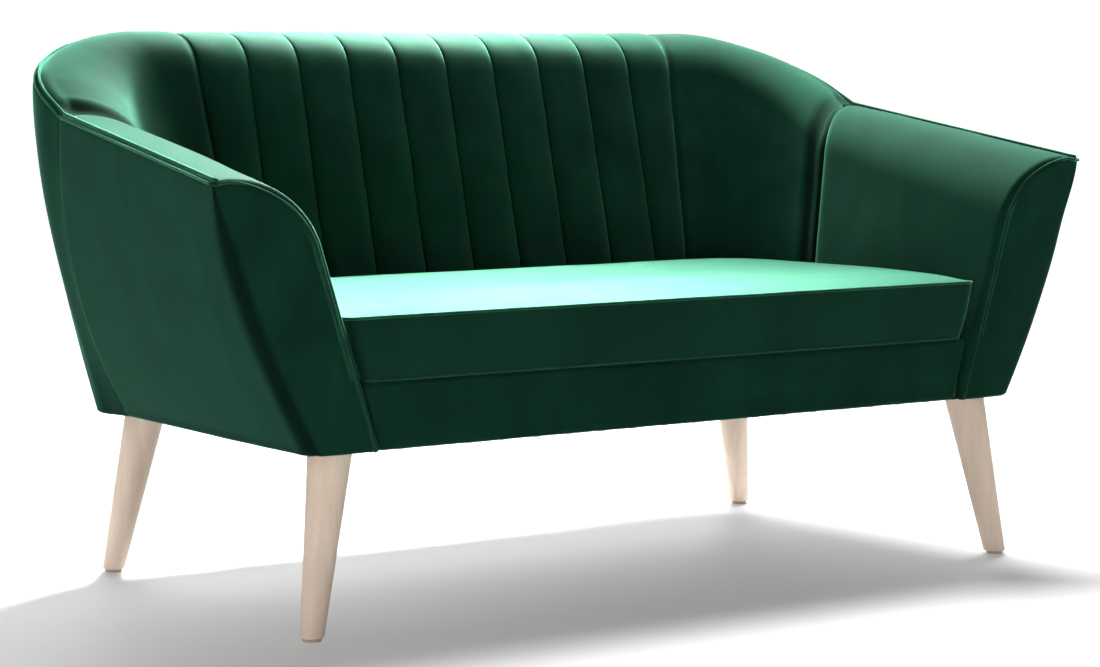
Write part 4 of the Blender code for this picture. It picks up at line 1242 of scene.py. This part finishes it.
# ---------------------------------------------------------------- legs
def make_leg(name, materials):
    """Leg turned on a lathe to a straight taper and sawn level at both ends."""
    low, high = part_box("leg_" + name)
    inside = 1 if low.x < 0 else -1
    top_radius, foot_radius = 0.028, 0.0152
    head_x = (high.x - top_radius) if inside > 0 else (low.x + top_radius)
    foot_x = (low.x + foot_radius) if inside > 0 else (high.x - foot_radius)
    forward = name.startswith("front")
    head_y = (high.y - top_radius) if forward else (low.y + top_radius)
    foot_y = (low.y + foot_radius) if forward else (high.y - foot_radius)
    head = Vector((head_x, head_y, high.z))
    foot = Vector((foot_x, foot_y, low.z))
    axis = (head - foot).normalized()
    spare = 0.020
    taper = (top_radius - foot_radius) / (head - foot).length
    bm = bmesh.new()
    bmesh.ops.create_cone(bm, cap_ends=True, segments=56, depth=(head - foot).length + 2 * spare,
                          radius1=foot_radius - taper * spare,
                          radius2=top_radius + taper * spare)
    turn = Vector((0, 0, 1)).rotation_difference(axis).to_matrix()
    bmesh.ops.rotate(bm, verts=bm.verts[:], cent=(0, 0, 0), matrix=turn)
    bmesh.ops.translate(bm, verts=bm.verts[:], vec=(head + foot) / 2)
    for level, normal in ((high.z, 1), (low.z, -1)):
        everything = bm.verts[:] + bm.edges[:] + bm.faces[:]
        bmesh.ops.bisect_plane(bm, geom=everything, plane_co=(0, 0, level), dist=1e-6,
                               plane_no=(0, 0, normal), clear_outer=True)
        rim = [edge for edge in bm.edges if edge.is_boundary]
        bmesh.ops.holes_fill(bm, edges=rim, sides=0)
    ends = [edge for edge in bm.edges
            if abs(edge.verts[0].co.z - edge.verts[1].co.z) < 1e-5]
    bmesh.ops.bevel(bm, geom=ends, offset=0.0016, segments=3, profile=0.5,
                    affect="EDGES", material=-1)
    bmesh.ops.recalc_face_normals(bm, faces=bm.faces[:])
    leg = make_piece("turned_leg_" + name, bm, materials["beech"])
    leg.data.set_sharp_from_angle(angle=math.radians(35))
    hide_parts("leg_" + name)


def dress_frame(materials):
    """Finishes for the frame's own parts that stay as they are."""
    finishes = (("seat_rail", "pine"), ("seat_stretcher", "pine"), ("leg_block", "pine"),
                ("back_post", "pine"), ("back_top_rail", "pine"), ("arm_board", "plywood"),
                ("back_corner_rib", "plywood"), ("seat_spring", "steel"),
                ("leg_bolt", "steel"), ("leg_glide", "nylon"))
    for name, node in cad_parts.items():
        if node.hide_render:
            continue
        for start, finish in finishes:
            if name.startswith(start):
                for place in node.material_slots:
                    place.material = materials[finish]


# ---------------------------------------------------------------- studio
def make_floor():
    material = bpy.data.materials.new("studio_floor")
    material.use_nodes = True
    tree = material.node_tree
    shader = tree.nodes["Principled BSDF"]
    place = tree.nodes.new("ShaderNodeTexCoord")
    faint = noise_node(tree, place.outputs["Object"], 2.0, 3.0)
    shade = tree.nodes.new("ShaderNodeMapRange")
    tree.links.new(faint, shade.inputs["Value"])
    shade.inputs["To Min"].default_value = 0.40
    shade.inputs["To Max"].default_value = 0.42
    tree.links.new(shade.outputs["Result"], shader.inputs["Base Color"])
    shader.inputs["Roughness"].default_value = 0.60
    shader.inputs["Specular IOR Level"].default_value = 0.20
    reach = tree.nodes.new("ShaderNodeVectorMath")
    reach.operation = "LENGTH"
    tree.links.new(place.outputs["Object"], reach.inputs[0])
    glow = ranged(tree, reach.outputs["Value"], 1.0, 2.6, 0.26, 1.0)
    shader.inputs["Emission Color"].default_value = (1.0, 1.0, 1.0, 1.0)
    tree.links.new(glow, shader.inputs["Emission Strength"])
    bm = bmesh.new()
    bmesh.ops.create_grid(bm, x_segments=1, y_segments=1, size=30.0)
    mesh = bpy.data.meshes.new("studio_floor")
    bm.to_mesh(mesh)
    bm.free()
    mesh.materials.append(material)
    floor = bpy.data.objects.new("studio_floor", mesh)
    bpy.context.scene.collection.objects.link(floor)


def add_softbox(name, place, target, size, watts, spread_angle=180):
    light = bpy.data.lights.new(name, "AREA")
    light.shape = "RECTANGLE"
    light.size, light.size_y = size
    light.energy = watts
    light.spread = math.radians(spread_angle)
    lamp = bpy.data.objects.new(name, light)
    lamp.location = place
    lamp.rotation_euler = (Vector(target) - Vector(place)).to_track_quat("-Z", "Y").to_euler()
    bpy.context.scene.collection.objects.link(lamp)


def make_studio():
    make_floor()
    world = bpy.data.worlds.new("studio_air")
    world.use_nodes = True
    tree = world.node_tree
    sky = tree.nodes["Background"]
    sky.inputs["Color"].default_value = (1.0, 1.0, 1.0, 1.0)
    seen = tree.nodes.new("ShaderNodeLightPath")
    level = tree.nodes.new("ShaderNodeMapRange")
    tree.links.new(seen.outputs["Is Camera Ray"], level.inputs["Value"])
    level.inputs["To Min"].default_value = 0.13
    level.inputs["To Max"].default_value = 1.05
    tree.links.new(level.outputs["Result"], sky.inputs["Strength"])
    bpy.context.scene.world = world
    bpy.context.scene.view_settings.view_transform = "Standard"
    add_softbox("back_box", (0.8, 2.6, 1.5), (0, 0, 0.5), (3.0, 1.2), 100)
    add_softbox("left_box", (-3.0, 0.6, 1.8), (-0.5, 0, 0.5), (1.5, 1.5), 14)
    add_softbox("top_box", (1.0, 0.8, 2.2), (-0.1, -0.1, 0.4), (1.2, 0.8), 250)
    add_softbox("seat_box", (0.45, 0.95, 1.75), (-0.22, -0.08, 0.42), (0.5, 0.3), 34, 42)
    add_softbox("low_box", (-2.6, -2.0, 0.35), (-0.3, -0.2, 0.3), (1.4, 0.5), 20)


def make_camera():
    """Stands low in front on the left and looks a little down across the seat."""
    pitch, roll, yaw = (math.radians(angle) for angle in (5.17, -0.36, 33.27))
    ahead = Vector((math.sin(yaw) * math.cos(pitch), math.cos(yaw) * math.cos(pitch),
                    -math.sin(pitch)))
    right = Vector((math.cos(yaw), -math.sin(yaw), 0))
    up = right.cross(ahead)
    turned = right * math.cos(roll) + up * math.sin(roll)
    risen = up * math.cos(roll) - right * math.sin(roll)
    basis = Matrix((turned, risen, -ahead)).transposed().to_4x4()
    lens = bpy.data.cameras.new("view")
    lens.sensor_width = 36.0
    lens.lens = 92.55
    camera = bpy.data.objects.new("view", lens)
    camera.matrix_world = Matrix.Translation((-2.206, -3.378, 0.692)) @ basis
    bpy.context.scene.collection.objects.link(camera)
    bpy.context.scene.camera = camera


def main():
    materials = make_materials()
    make_back_lining(materials["shell"])
    make_outer_back(materials["shell"])
    for side, tag in SIDES:
        make_arm_pad(side, tag, materials["shell"])
        make_arm_cover(side, tag, materials["shell"])
        make_arm_welts(side, tag, materials["welt"])
    make_rim_welts(materials["welt"])
    make_seat_front(materials["shell"])
    make_cushion(materials)
    make_deck(materials)
    make_under_cloth(materials)
    for name in ("front_left", "front_right", "rear_left", "rear_right"):
        make_leg(name, materials)
    dress_frame(materials)
    make_studio()
    make_camera()


main()
